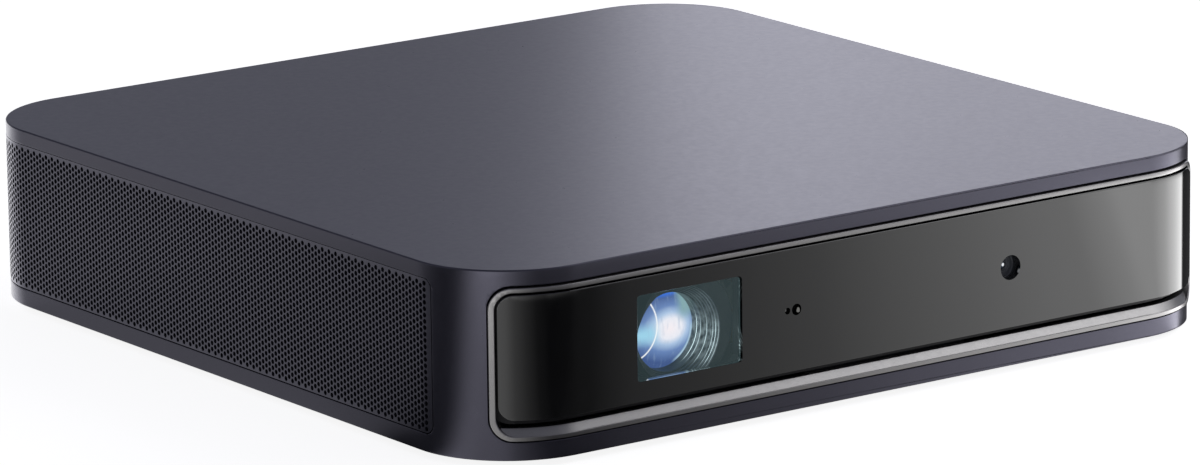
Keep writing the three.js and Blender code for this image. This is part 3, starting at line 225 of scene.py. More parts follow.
def turned(profile, centre, axis, steps=96):
    """Shape turned from (radius, place along the axis) points"""
    mesh = bmesh.new()
    verts = [mesh.verts.new(Vector(centre) + Vector((radius, 0, 0)) + Vector(axis) * along)
             for radius, along in profile]
    edges = [mesh.edges.new(pair) for pair in zip(verts, verts[1:])]
    bmesh.ops.spin(mesh, geom=verts + edges, cent=centre, axis=axis, dvec=(0, 0, 0), angle=2 * math.pi,
                   steps=steps, use_merge=True)
    bmesh.ops.remove_doubles(mesh, verts=mesh.verts[:], dist=0.0001)
    bmesh.ops.recalc_face_normals(mesh, faces=mesh.faces[:])
    return mesh


def make_piece(mesh, name, look, slot, *nodes, body="housing", welded=0.0005):
    """Scales the finished mesh to metres and makes it a piece that rides on its body"""
    bmesh.ops.remove_doubles(mesh, verts=mesh.verts[:], dist=welded)
    bmesh.ops.recalc_face_normals(mesh, faces=mesh.faces[:])
    bmesh.ops.scale(mesh, vec=(MM, MM, MM), verts=mesh.verts[:])
    data = bpy.data.meshes.new(name)
    mesh.to_mesh(data)
    mesh.free()
    data.materials.append(look)
    data.shade_smooth()
    data.set_sharp_from_angle(angle=math.radians(30))
    piece = bpy.data.objects.new(name, data)
    bpy.context.collection.objects.link(piece)
    piece.modifiers.new("even shading", "WEIGHTED_NORMAL").keep_sharp = True
    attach(piece, body)
    if nodes:
        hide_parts(*nodes)


# Material nodes


def maths(tree, operation, *values):
    made = tree.nodes.new("ShaderNodeMath")
    made.operation = operation
    for socket, value in zip(made.inputs, values):
        if isinstance(value, (int, float)):
            socket.default_value = value
        else:
            tree.links.new(value, socket)
    return made.outputs[0]


def smooth_step(tree, value, low, high, start=0, end=1):
    """Smooth change from start, up to the low value, to end, from the high value on"""
    made = tree.nodes.new("ShaderNodeMapRange")
    made.interpolation_type = "SMOOTHSTEP"
    for name, number in (("From Min", low), ("From Max", high), ("To Min", start), ("To Max", end)):
        made.inputs[name].default_value = number
    tree.links.new(value, made.inputs["Value"])
    return made.outputs["Result"]


def distance(tree, place, spot):
    made = tree.nodes.new("ShaderNodeVectorMath")
    made.operation = "DISTANCE"
    tree.links.new(place, made.inputs[0])
    made.inputs[1].default_value = spot
    return made.outputs["Value"]


def ramp(tree, value, stops):
    """Colour that follows the value through (value, colour) stops"""
    made = tree.nodes.new("ShaderNodeValToRGB")
    band = made.color_ramp
    while len(band.elements) < len(stops):
        band.elements.new(0.5)
    for element, (position, colour) in zip(band.elements, stops):
        element.position = position
        element.color = (*colour, 1)
    tree.links.new(value, made.inputs["Fac"])
    return made.outputs["Color"]


def blend(tree, amount, under, over):
    """One colour over another by that amount, where the lower one may be the output of a node"""
    made = tree.nodes.new("ShaderNodeMix")
    made.data_type = "RGBA"
    tree.links.new(amount, made.inputs[0])
    lower, upper = [socket for socket in made.inputs if socket.type == "RGBA"]
    if isinstance(under, tuple):
        lower.default_value = (*under, 1)
    else:
        tree.links.new(under, lower)
    upper.default_value = (*over, 1)
    return next(socket for socket in made.outputs if socket.type == "RGBA")


class Finish:
    """Material whose nodes read the object's own coordinates, in millimetres"""

    def __init__(self, name, colour, roughness, metallic=0.0, **uniform):
        self.material = bpy.data.materials.new(name)
        self.material.use_nodes = True
        self.tree = self.material.node_tree
        self.shader = self.tree.nodes["Principled BSDF"]
        self.shader.inputs["Base Color"].default_value = (*colour, 1)
        self.shader.inputs["Roughness"].default_value = roughness
        self.shader.inputs["Metallic"].default_value = metallic
        for socket, value in uniform.items():
            self.shader.inputs[socket.replace("_", " ")].default_value = value
        self.colour, self.roughness = colour, roughness
        coordinates = self.tree.nodes.new("ShaderNodeTexCoord")
        scale = self.node("Vector Math", operation="SCALE")
        scale.inputs["Scale"].default_value = 1 / MM
        self.link(coordinates.outputs["Object"], scale.inputs[0])
        self.place = scale.outputs[0]

    def node(self, kind, **settings):
        made = self.tree.nodes.new("ShaderNode" + kind.replace(" ", ""))
        for name, value in settings.items():
            setattr(made, name, value)
        return made

    def link(self, source, target):
        self.tree.links.new(source, target)

    def mapped(self, location=(0, 0, 0), rotation=(0, 0, 0), scale=(1, 1, 1)):
        mapping = self.node("Mapping")
        mapping.inputs["Location"].default_value = location
        mapping.inputs["Rotation"].default_value = rotation
        mapping.inputs["Scale"].default_value = scale
        self.link(self.place, mapping.inputs["Vector"])
        return mapping.outputs["Vector"]

    def noise(self, scale, detail=3.0, place=None):
        made = self.node("TexNoise")
        made.inputs["Scale"].default_value = scale
        made.inputs["Detail"].default_value = detail
        self.link(place or self.place, made.inputs["Vector"])
        return made.outputs["Fac"]

    def ramp(self, value, *stops):
        return ramp(self.tree, value, stops)

    def maths(self, operation, first, second=0):
        return maths(self.tree, operation, first, second)

    def product(self, first, second):
        return self.maths("MULTIPLY", first, second)

    def distance(self, place, spot):
        return distance(self.tree, place, spot)

    def between(self, value, start, end):
        """Smooth step from 0 at the start to 1 at the end"""
        if start > end:
            return smooth_step(self.tree, value, end, start, 1, 0)
        return smooth_step(self.tree, value, start, end)

    def bump_at(self, value, middle, half):
        """1 at the middle, 0 from half away"""
        return self.between(self.maths("ABSOLUTE", self.maths("SUBTRACT", value, middle)), half, 0)

    def layer(self, under, amount, colour):
        """The colour laid over the one under it by that amount"""
        return blend(self.tree, amount, under, colour)

    def parts(self, place):
        """The place across, in depth and upward"""
        made = self.node("SeparateXYZ")
        self.link(place, made.inputs[0])
        return made.outputs["X"], made.outputs["Y"], made.outputs["Z"]

    def shade(self, source, spread):
        """Lets the base colour vary by a share of itself"""
        dark = tuple(c * (1 - spread) for c in self.colour)
        light = tuple(min(c * (1 + spread), 1) for c in self.colour)
        self.link(self.ramp(source, (0.3, dark), (0.7, light)), self.shader.inputs["Base Color"])

    def wear(self, source, spread):
        low, high = self.roughness - spread, self.roughness + spread
        made = self.node("MapRange")
        made.inputs["To Min"].default_value = low
        made.inputs["To Max"].default_value = high
        self.link(source, made.inputs["Value"])
        self.link(made.outputs["Result"], self.shader.inputs["Roughness"])

    def relief(self, source, height):
        bump = self.node("Bump")
        bump.inputs["Strength"].default_value = 1.0
        bump.inputs["Distance"].default_value = height * MM
        self.link(source, bump.inputs["Height"])
        self.link(bump.outputs["Normal"], self.shader.inputs["Normal"])

    def grain(self, scale, spread, rough, height, stretch=(1, 1, 1)):
        """Fine grain in colour and relief, wider patches in roughness"""
        place = self.mapped(scale=stretch)
        fine = self.noise(scale, 4, place)
        self.shade(fine, spread)
        self.wear(self.noise(scale / 9, 3, place), rough)
        self.relief(fine, height)
        return self


def plain(name, colour, roughness, metallic, scale, spread, height, stretch=(1, 1, 1), **uniform):
    finish = Finish(name, colour, roughness, metallic, **uniform)
    return finish.grain(scale, spread, 0.05, height, stretch).material


# Finishes: colour, roughness, metal, then scale, spread and height of the grain
slate = plain("blasted slate metal", (0.149, 0.1455, 0.188), 0.3, 0.8, 6.0, 0.05, 0.004)
# The perforated panels are the same slate metal painted lighter, so that their webs look more brightly lit
perforated = plain("perforated slate metal", (0.2, 0.196, 0.246), 0.3, 0.8, 6.0, 0.05, 0.004)
bright = plain("bright bezel metal", (0.5, 0.49, 0.49), 0.3, 0.9, 7.0, 0.08, 0.003)
panel_glass = plain("black panel glass", (0.004, 0.004, 0.005), 0.05, 0.0, 0.3, 0.3, 0.0005, IOR=2.2)
# The clear pane carries a faint painted blue-green glow in its emission
pane = Finish("clear pane", (0.96, 0.98, 0.98), 0.02, 0.0, IOR=1.45, Transmission_Weight=1.0,
              Emission_Color=(0.008, 0.015, 0.0165, 1), Emission_Strength=1.0)
pane.wear(pane.noise(0.2), 0.01)
clear = pane.material
coated = plain("coated lens", (0.02, 0.08, 0.3), 0.04, 0.3, 0.5, 0.3, 0.0005)
plastic = plain("moulded black plastic", (0.018, 0.018, 0.02), 0.5, 0.0, 3.0, 0.2, 0.01)
rubber = plain("black rubber", (0.02, 0.02, 0.021), 0.8, 0.0, 4.0, 0.25, 0.02)
cast = plain("die-cast metal", (0.16, 0.165, 0.17), 0.5, 0.8, 1.6, 0.15, 0.03)
sink = plain("dark anodised fins", (0.03, 0.03, 0.033), 0.45, 0.7, 2.0, 0.2, 0.004, (0.2, 0.2, 4))
copper = plain("copper", (0.6, 0.26, 0.13), 0.3, 0.95, 1.2, 0.15, 0.004)
brass = plain("turned brass", (0.6, 0.42, 0.17), 0.32, 0.95, 2.0, 0.12, 0.004, (1, 1, 8))
steel = plain("pressed steel", (0.42, 0.43, 0.45), 0.32, 0.9, 2.0, 0.1, 0.004, (6, 1, 1))
gear = plain("natural gear plastic", (0.62, 0.58, 0.48), 0.45, 0.0, 2.0, 0.06, 0.006)
board = plain("green board", (0.01, 0.075, 0.035), 0.35, 0.0, 0.9, 0.35, 0.02)
cone = plain("black paper cone", (0.02, 0.02, 0.02), 0.85, 0.0, 2.5, 0.25, 0.03)
phosphor = plain("yellow phosphor disc", (0.6, 0.5, 0.06), 0.5, 0.2, 2.5, 0.15, 0.01)

FINISHES = {
    "slate_metal": slate, "bright_metal": bright, "black_glass": panel_glass, "clear_glass": clear,
    "coated_glass": coated, "black_plastic": plastic, "black_rubber": rubber, "cast_metal": cast,
    "sink_metal": sink, "copper": copper, "brass": brass, "steel": steel, "gear_plastic": gear,
    "board": board, "cone": cone, "phosphor": phosphor,
}
NODES = {
    "slate_metal": "top_shell left_grille right_grille",
    "bright_metal": "front_bezel", "black_glass": "front_glass", "clear_glass": "lens_window",
    "coated_glass": "camera_lens front_lens",
    "black_plastic": "base_cover rear_panel front_frame camera_module tof_module lens_barrel"
                     " right_fan_housing right_fan_rotor left_fan_housing left_fan_rotor left_speaker_box"
                     " right_speaker_box dc_socket hdmi_insert usb_insert audio_socket power_button"
                     " power_switch",
    "black_rubber": "front_left_foot front_right_foot rear_left_foot rear_right_foot",
    "cast_metal": "mid_frame engine_housing engine_cover lens_mount",
    "sink_metal": "dmd_heatsink laser_heatsink",
    "copper": "laser_module heat_pipe_lower heat_pipe_upper",
    "brass": "tripod_insert",
    "steel": "wheel_motor wheel_bracket focus_motor shield_can hdmi_shell usb_shell",
    "gear_plastic": "focus_ring focus_pinion",
    "board": "dmd_board main_board left_antenna right_antenna power_board",
    "cone": "left_speaker_cone right_speaker_cone", "phosphor": "phosphor_wheel",
}
for slot, names in NODES.items():
    for name in names.split():
        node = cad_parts[name]
        for holder in node.material_slots:
            holder.material = FINISHES[slot]

# Body shell: one strip round the four sides, then the top


def make_shell():
    # The strip begins and ends in the plain wall between the bezel and the right panel
    start = 100.0
    end = start + ROUND
    mesh = rounded(start, end, BODY_LOW, BODY_TOP, 0)
    low, high = BAND_LOW - SEAM, BAND_HIGH + SEAM
    panel_start, panel_end = PANEL_START - 0.15, PANEL_END + 0.15
    for outline in ((ROUND - BEZEL_END - SEAM, ROUND + BEZEL_END + SEAM, low, high, 5 + SEAM),
                    (panel_start, panel_end, low, high, 2 + SEAM),
                    (ROUND - panel_end, ROUND - panel_start, low, high, 2 + SEAM),
                    (ROUND / 2 - 46.2, ROUND / 2 + 46.2, 7.6, 20.4, 2.0)):
        add(mesh, rounded(*outline))
    keep_outline(mesh)
    bmesh.ops.triangle_fill(mesh, use_beauty=True, use_dissolve=False, edges=mesh.edges[:], normal=(0, -1, 0))
    score_corners(mesh)
    thicken(mesh, WALL)

    def at_ends(item):
        return any(all(abs(v.co.x - place) < 0.001 for v in item.verts) for place in (start, end))

    def at_height(item, height):
        return all(abs(v.co.z - height) < 0.001 for v in item.verts)

    rims = [edge for edge in front_rims(mesh, 0) if not at_ends(edge)]
    top = [edge for edge in rims if at_height(edge, BODY_TOP)]
    bottom = [edge for edge in rims if at_height(edge, BODY_LOW)]
    openings = [edge for edge in rims if edge not in top and edge not in bottom]
    soften(mesh, openings, 0.16, 2)
    soften(mesh, top, 0.35, 4)
    soften(mesh, bottom, 0.4, 3)
    doomed = [face for face in mesh.faces if at_ends(face) or at_height(face, BODY_TOP)]
    bmesh.ops.delete(mesh, geom=doomed, context="FACES_ONLY")
    inner = [v for v in mesh.verts if abs(v.co.z - BODY_TOP) < 0.001 and v.co.y > WALL - 0.1]
    bmesh.ops.translate(mesh, vec=(0, 0, -TOP_WALL), verts=inner)
    loose = [edge for edge in mesh.edges if not edge.link_faces]
    bmesh.ops.delete(mesh, geom=loose, context="EDGES")
    wrap(mesh)
    bmesh.ops.remove_doubles(mesh, verts=mesh.verts[:], dist=0.001)
    bmesh.ops.holes_fill(mesh, edges=[edge for edge in mesh.edges if edge.is_boundary], sides=0)
    make_piece(mesh, "body_shell", slate, "slate_metal", "top_shell")


# Perforated side panels: a cell with one hole, repeated in offset columns, inside a plain margin


def perforated_cell():
    mesh = bmesh.new()
    face_on = Matrix.Rotation(math.pi / 2, 4, "X") @ Matrix.Rotation(math.pi / 8, 4, "Z")
    bmesh.ops.create_circle(mesh, segments=8, radius=HOLE, matrix=face_on)
    brick = rounded(-COLUMN / 2, COLUMN / 2, -ROW / 2, ROW / 2, 0)
    keep_outline(brick)
    uprights = [edge for edge in brick.edges if abs(edge.verts[0].co.x - edge.verts[1].co.x) < 0.001]
    bmesh.ops.subdivide_edges(brick, edges=uprights, cuts=1)
    add(mesh, brick)
    bmesh.ops.bridge_loops(mesh, edges=mesh.edges[:])
    return mesh


def repeat(mesh, geom, steps):
    for step in steps:
        copy = bmesh.ops.duplicate(mesh, geom=geom)["geom"]
        bmesh.ops.translate(mesh, vec=step, verts=only_points(copy))


def pattern_edges(mesh, middle):
    """Boundary edges of the pattern that don't belong to a hole"""
    outer = []
    for edge in mesh.edges:
        if not edge.is_boundary:
            continue
        spot = (edge.verts[0].co + edge.verts[1].co) / 2 - middle
        column = round(spot.x / COLUMN + (COLUMNS - 1) / 2)
        across = spot.x - (column - (COLUMNS - 1) / 2) * COLUMN
        row = spot.z / ROW + (ROWS - 1) / 2 - (column % 2) / 2
        if math.hypot(across, (row - round(row)) * ROW) > HOLE + 0.05:
            outer.append(edge)
    return outer


def make_panels():
    mesh = perforated_cell()
    middle = Vector(((PANEL_START + PANEL_END) / 2, 0, (BAND_LOW + BAND_HIGH) / 2))
    first = middle - Vector(((COLUMNS - 1) / 2 * COLUMN, 0, (ROWS - 1) / 2 * ROW))
    cell = mesh.verts[:] + mesh.edges[:] + mesh.faces[:]
    bmesh.ops.translate(mesh, vec=first, verts=mesh.verts[:])
    repeat(mesh, cell, [(0, 0, ROW * i) for i in range(1, ROWS)])
    tall = mesh.verts[:] + mesh.edges[:] + mesh.faces[:]
    short = [face for face in mesh.faces if face.calc_center_median().z < middle.z + (ROWS - 2) / 2 * ROW]
    corners = {v for face in short for v in face.verts}
    short += list({edge for face in short for edge in face.edges}) + list(corners)
    repeat(mesh, short, [(COLUMN * i, 0, ROW / 2) for i in range(1, COLUMNS, 2)])
    repeat(mesh, tall, [(COLUMN * i, 0, 0) for i in range(2, COLUMNS, 2)])
    bmesh.ops.remove_doubles(mesh, verts=mesh.verts[:], dist=0.01)
    inner = pattern_edges(mesh, middle)
    outline = rounded(PANEL_START, PANEL_END, BAND_LOW + 0.08, BAND_HIGH + 0.1, 2.0)
    keep_outline(outline)
    add(mesh, outline)
    border = inner + [edge for edge in mesh.edges if edge.is_wire]
    made = bmesh.ops.triangle_fill(mesh, use_beauty=True, use_dissolve=False, edges=border, normal=(0, -1, 0))
    margin = [item for item in made["geom"] if isinstance(item, bmesh.types.BMFace)]
    score_corners(mesh, margin)
    thicken(mesh, 1.2)
    other = mesh.copy()
    for vert in other.verts:
        vert.co.x = ROUND - vert.co.x
    for part, side in ((mesh, "right"), (other, "left")):
        wrap(part)
        make_piece(part, side + "_perforated_panel", perforated, "slate_metal", side + "_grille",
                   welded=0.00001)


# Front: bezel with its sloping ledge, glass, window


def make_bezel():
    end, front = BEZEL_END - 0.22, -0.6
    mesh = slab(-end, end, BAND_LOW + 0.22, BAND_HIGH - 0.22, 4.8, front, 4.0, 0.2, rim=1.0, narrower=0.996,
                segments=12)
    ledge = block((-92.25, front, 6.5), (92.25, 1.9, 8.2))
    upper_edge = [v for v in ledge.verts if v.co.y < 0 and v.co.z > 8]
    bmesh.ops.translate(ledge, vec=(0, 1.2, 0), verts=upper_edge)
    lower_ends = [edge for edge in ledge.edges if all(v.co.z < 7 for v in edge.verts)
                  and abs(edge.verts[0].co.x - edge.verts[1].co.x) < 1]
    soften(ledge, lower_ends, 2.0, 6)
    add(mesh, ledge)
    score_corners(mesh)
    wrap(mesh)
    make_piece(mesh, "bezel", bright, "bright_metal", "front_bezel")


def make_glass():
    mesh = slab(-91.5, 91.5, 10.05, 35.9, 3.3, -0.75, 1.05, 0.2, segments=10)
    opening = rounded(-60.2, -33.75, 14.25, 32.2, 0.8, -2)
    thicken(opening, 6)
    camera_pit = rod(CAMERA_X, LENS_Z, 2.65, -3, 3, 64)
    sensor_pits = [rod(x, LENS_Z, hole, -3, 3, 32) for x, hole, _ in SENSOR_PITS]
    mesh = carve(mesh, opening, camera_pit, *sensor_pits)
    score_corners(mesh)
    wrap(mesh)
    make_piece(mesh, "panel_glass", panel_glass, "black_glass", "front_glass")
    window = slab(-60.18, -34.3, 14.3, 32.18, 0.78, -0.73, -0.1, 0.02)
    wrap(window)
    make_piece(window, "window_pane", clear, "clear_glass", "lens_window")


# Lens: black nose with a ridged bore and painted highlights on its ridges, coated front element with the
# projector's light painted into it as a glow


def at_depth(x, depth, z):
    return Vector((x, FRONT_Y + depth, z))


def turned_inward(profile, x, z, steps=96):
    """Shape turned round an axis square to the front, from (radius, depth behind the front) points"""
    return turned(profile, at_depth(x, 0, z), (0, 1, 0), steps)


def dome(radius, rim, apex, steps):
    """Profile of a bulging glass, from its middle to its rim"""
    turns = [math.pi / 2 * i / steps for i in range(steps + 1)]
    return [(radius * math.sin(turn), rim - (rim - apex) * math.cos(turn)) for turn in turns]


def from_bore(look, wide=1.0, tall=1.0):
    """Place measured from the axis of the bore, squeezed or stretched by the two factors"""
    return look.mapped(location=(-wide * BORE_X, 0, -tall * BORE_Z), scale=(wide, 0, tall))


def lens_look():
    """Painted glow of the projector's light in the coated glass: white core, pale blue round it, deep blue
    rim, with painted bright bands and a painted white highlight arc
    """
    look = Finish("lit coated lens", (0.01, 0.02, 0.06), 0.05, 0.0, Emission_Strength=1.0, Coat_Weight=0.5)
    flat = from_bore(look)
    across, _, upward = look.parts(flat)
    core = look.maths("DIVIDE", look.distance(from_bore(look, 0.8, 1.15), (1.2, 0, 0.2)), 12.0)
    light = look.ramp(core, (0.0, (1.0, 0.9, 0.93)), (0.2, (0.9, 0.88, 0.95)), (0.32, (0.42, 0.56, 0.78)),
                      (0.46, (0.13, 0.22, 0.48)), (0.68, (0.035, 0.07, 0.24)))
    # Painted bands of light: teal on the left, deep blue at the top, pale on the upper right and along the
    # lower right of the rim
    left_band = look.product(look.bump_at(upward, -0.4, 3.2), look.between(across, 0.0, -4.0))
    light = look.layer(light, left_band, (0.36, 0.68, 0.86))
    light = look.layer(light, look.between(upward, 6.4, 7.4), (0.03, 0.15, 0.7))
    upper_right = look.product(look.between(upward, 0.5, 4.0), look.between(across, 2.5, 5.5))
    light = look.layer(light, upper_right, (0.24, 0.4, 0.42))
    ring = look.bump_at(look.distance(flat, (0, 0, 0)), 7.5, 0.7)
    right_edge = look.product(ring, look.between(across, 2.0, 4.5))
    lower_right = look.product(right_edge, look.between(upward, 1.0, -1.0))
    light = look.layer(light, lower_right, (0.42, 0.6, 0.72))
    # Painted highlight: a thin white arc
    highlight_arc = look.bump_at(look.distance(flat, (-10.2, 0, 1.6)), 8.35, 0.3)
    light = look.layer(light, highlight_arc, (1.0, 1.0, 1.0))
    # Painted streaks of pale blue light, whose noise also varies the roughness
    slanted = look.mapped(location=(-BORE_X, 0, -BORE_Z), scale=(1.3, 0, 0.35), rotation=(0, 0.5, 0))
    streaks = look.noise(1.0, 4, slanted)
    light = look.layer(light, look.product(look.between(streaks, 0.52, 0.75), 0.35), (0.3, 0.42, 0.6))
    look.link(light, look.shader.inputs["Emission Color"])
    look.wear(streaks, 0.02)
    return look.material


def bore_look():
    """Black of the nose, with painted highlights on its ridges, strongest low on the right, and a painted
    glow, standing in for the light of the lens
    """
    look = Finish("ridged lens black", (0.02, 0.024, 0.028), 0.38, 0.2, Emission_Strength=1.4)
    across, _, upward = look.parts(from_bore(look))
    depth = look.maths("SUBTRACT", look.parts(look.place)[1], FRONT_Y)
    # Painted highlights: bright lines on the ridges of the bore on the right, stronger low down
    lit = look.product(look.between(across, 3.0, 6.0), look.between(depth, 1.45, 1.6))
    low = look.product(look.between(upward, 3.0, -1.0), look.between(upward, -7.5, -5.0))
    lines = 0.0
    for spot, share in ((1.9, 0.35), (2.7, 1.0), (3.5, 0.5), (5.2, 0.6), (6.9, 0.4), (8.2, 1.0)):
        lines = look.maths("ADD", lines, look.product(look.bump_at(depth, spot, 0.12), share))
    level = look.maths("ADD", look.product(low, 1.5), 0.15)
    ridges = look.product(look.product(lines, lit), level)
    # Painted glow between the ridges, patchy with noise
    glow_level = look.maths("ADD", look.product(look.bump_at(upward, -1.5, 7.0), 0.13), 0.03)
    painted_glow = look.product(look.product(lit, glow_level), look.between(look.noise(0.8, 3), 0.25, 0.75))
    light = look.ramp(look.maths("ADD", ridges, painted_glow), (0, (0, 0, 0)), (1, (0.75, 0.95, 1.0)))
    look.link(light, look.shader.inputs["Emission Color"])
    fine = look.noise(2.0, 4)
    look.shade(fine, 0.2)
    look.wear(look.noise(0.3), 0.05)
    look.relief(fine, 0.004)
    return look.material


def make_lens():
    face, narrow, seat = 1.35, 6.8, 10.95
    outer = turned_inward([(0, face), (11.7, face), (11.85, 1.5), (11.85, 6.8), (11.7, 6.95), (10.2, 6.95),
                           (10.2, 29.7), (10.0, 29.9), (0, 29.9)], LENS_X, LENS_Z)
    steps = [(0, 1.0), (10.5, 1.0), (10.4, 1.6)]
    for i in range(6):
        radius, depth = 10.4 - 0.36 * i, 1.6 + 0.86 * i
        steps += [(radius - 0.05, depth + 0.5), (radius - 0.31, depth + 0.58), (radius - 0.36, depth + 0.86)]
    steps += [(BORE_RADIUS, narrow), (BORE_RADIUS, seat), (0, seat)]
    bore = turned_inward(steps, BORE_X, BORE_Z)
    # The mouth of the bore is moved against its inner end, as in the photo
    for vert in bore.verts:
        share = min(max(1 - (vert.co.y - FRONT_Y - face) / (narrow - face), 0), 1)
        vert.co += Vector((-1.5, 0, 0.5)) * share
    mesh = carve(outer, bore, rod(LENS_X, LENS_Z, 7.2, FRONT_Y + seat - 0.05, FRONT_Y + 31, 64))
    make_piece(mesh, "lens_nose", bore_look(), "black_plastic", "lens_barrel", body="lens")
    radius, back = BORE_RADIUS - 0.04, seat - 0.15
    glass = turned_inward([*dome(radius, 9.9, 8.1, 12), (radius, back), (0, back)], BORE_X, BORE_Z)
    make_piece(glass, "coated_front_lens", lens_look(), "coated_glass", "front_lens", body="lens")


# Camera and distance sensor behind their pits


def make_camera():
    face = turned_inward([(0, 2.55), (1.0, 2.55), (1.0, 2.4), (1.35, 2.05), (1.6, 2.05), (1.7, 1.95),
                          (2.55, 1.95), (2.7, 1.85), (3.4, 1.85), (3.5, 1.95), (3.5, 3.8), (0, 3.8)],
                         CAMERA_X, LENS_Z, 64)
    low, high = at_depth(CAMERA_X - 5, 3.6, LENS_Z - 5), at_depth(CAMERA_X + 5, 6.0, LENS_Z + 5)
    add(face, block(low, high, 0.3))
    look = Finish("grey camera face", (0.3, 0.315, 0.33), 0.35, 0.1).grain(3.0, 0.15, 0.05, 0.004).material
    make_piece(face, "camera_block", look, "black_plastic", "camera_module")
    radius, back = 0.92, 2.54
    lens = turned_inward([*dome(radius, 2.5, 2.1, 6), (radius, back), (0, back)], CAMERA_X, LENS_Z, 48)
    look = Finish("camera lens", (0.006, 0.008, 0.014), 0.06, 0.0, Coat_Weight=0.6, Emission_Strength=1.0)
    flat = look.mapped(location=(-CAMERA_X, 0, -LENS_Z), scale=(1, 0, 1))
    # Painted light in the lens's emission: a white glint spot and a faint blue glow
    glint_spot = look.between(look.distance(flat, (0.28, 0, 0.02)), 0.45, 0.24)
    blue = look.ramp(look.distance(flat, (0, 0, 0)), (0.3, (0.02, 0.03, 0.05)), (0.9, (0, 0, 0)))
    look.link(look.layer(blue, glint_spot, (0.85, 0.88, 0.92)), look.shader.inputs["Emission Color"])
    look.wear(look.noise(1.0), 0.02)
    make_piece(lens, "camera_front_lens", look.material, "coated_glass", "camera_lens")


def make_sensor():
    low, high = at_depth(SENSOR_X - 4.5, 1.35, LENS_Z - 2.5), at_depth(SENSOR_X + 4.5, 4.35, LENS_Z + 2.5)
    floor = 1.9
    pits = [rod(x, LENS_Z, pit, FRONT_Y + 1, FRONT_Y + floor, 32) for x, _, pit in SENSOR_PITS]
    mesh = carve(block(low, high, 0.25), *pits)
    make_piece(mesh, "sensor_block", plastic, "black_plastic", "tof_module")
    beads = bmesh.new()
    for x, _, pit in SENSOR_PITS:
        place = Matrix.Translation(at_depth(x, floor, LENS_Z)) @ Matrix.Diagonal((1, 0.5, 1, 1))
        bmesh.ops.create_uvsphere(beads, u_segments=24, v_segments=12, radius=pit * 0.8, matrix=place)
    look = Finish("sensor beads", (0.03, 0.012, 0.015), 0.1, 0.0, Coat_Weight=0.4, Emission_Strength=1.0)
    # Painted glints in the beads' emission: a bright spot on the wide bead, a dimmer one on the small bead
    flat = look.mapped(location=(-SENSOR_X, 0, -0.6 * LENS_Z), scale=(1, 0, 0.6))
    wide = look.between(look.distance(flat, (1.15, 0, 0.05)), 0.5, 0.3)
    small = look.between(look.distance(flat, (-1.15, 0, 0)), 0.35, 0.2)
    dim = look.ramp(look.product(small, 0.5), (0, (0, 0, 0)), (1, (1, 1, 1)))
    look.link(look.layer(dim, wide, (1.0, 1.0, 0.95)), look.shader.inputs["Emission Color"])
    look.wear(look.noise(1.0), 0.03)
    make_piece(beads, "sensor_beads", look.material, "black_glass")


# Underside screws


def make_screws():
    mesh = bmesh.new()
    reach = 83
    head = [(0, 2.3), (0.9, 2.3), (1.35, 2.45), (1.5, 2.7), (1.5, 4.5), (0, 4.5)]
    for x in (-reach, reach):
        for y in (-reach + MIDDLE_Y, reach + MIDDLE_Y):
            screw = turned(head, (x, y, 0), (0, 0, 1), 32)
            cross = [block((x - a, y - b, 1.5), (x + a, y + b, 3.1)) for a, b in ((0.95, 0.19), (0.19, 0.95))]
            add(mesh, carve(screw, *cross))
    make_piece(mesh, "base_screws", steel, "steel")


make_shell()
make_panels()
make_bezel()
make_glass()
make_lens()
make_camera()
make_sensor()
make_screws()

# Floor, light and camera. The floor and the lamps are in metres.


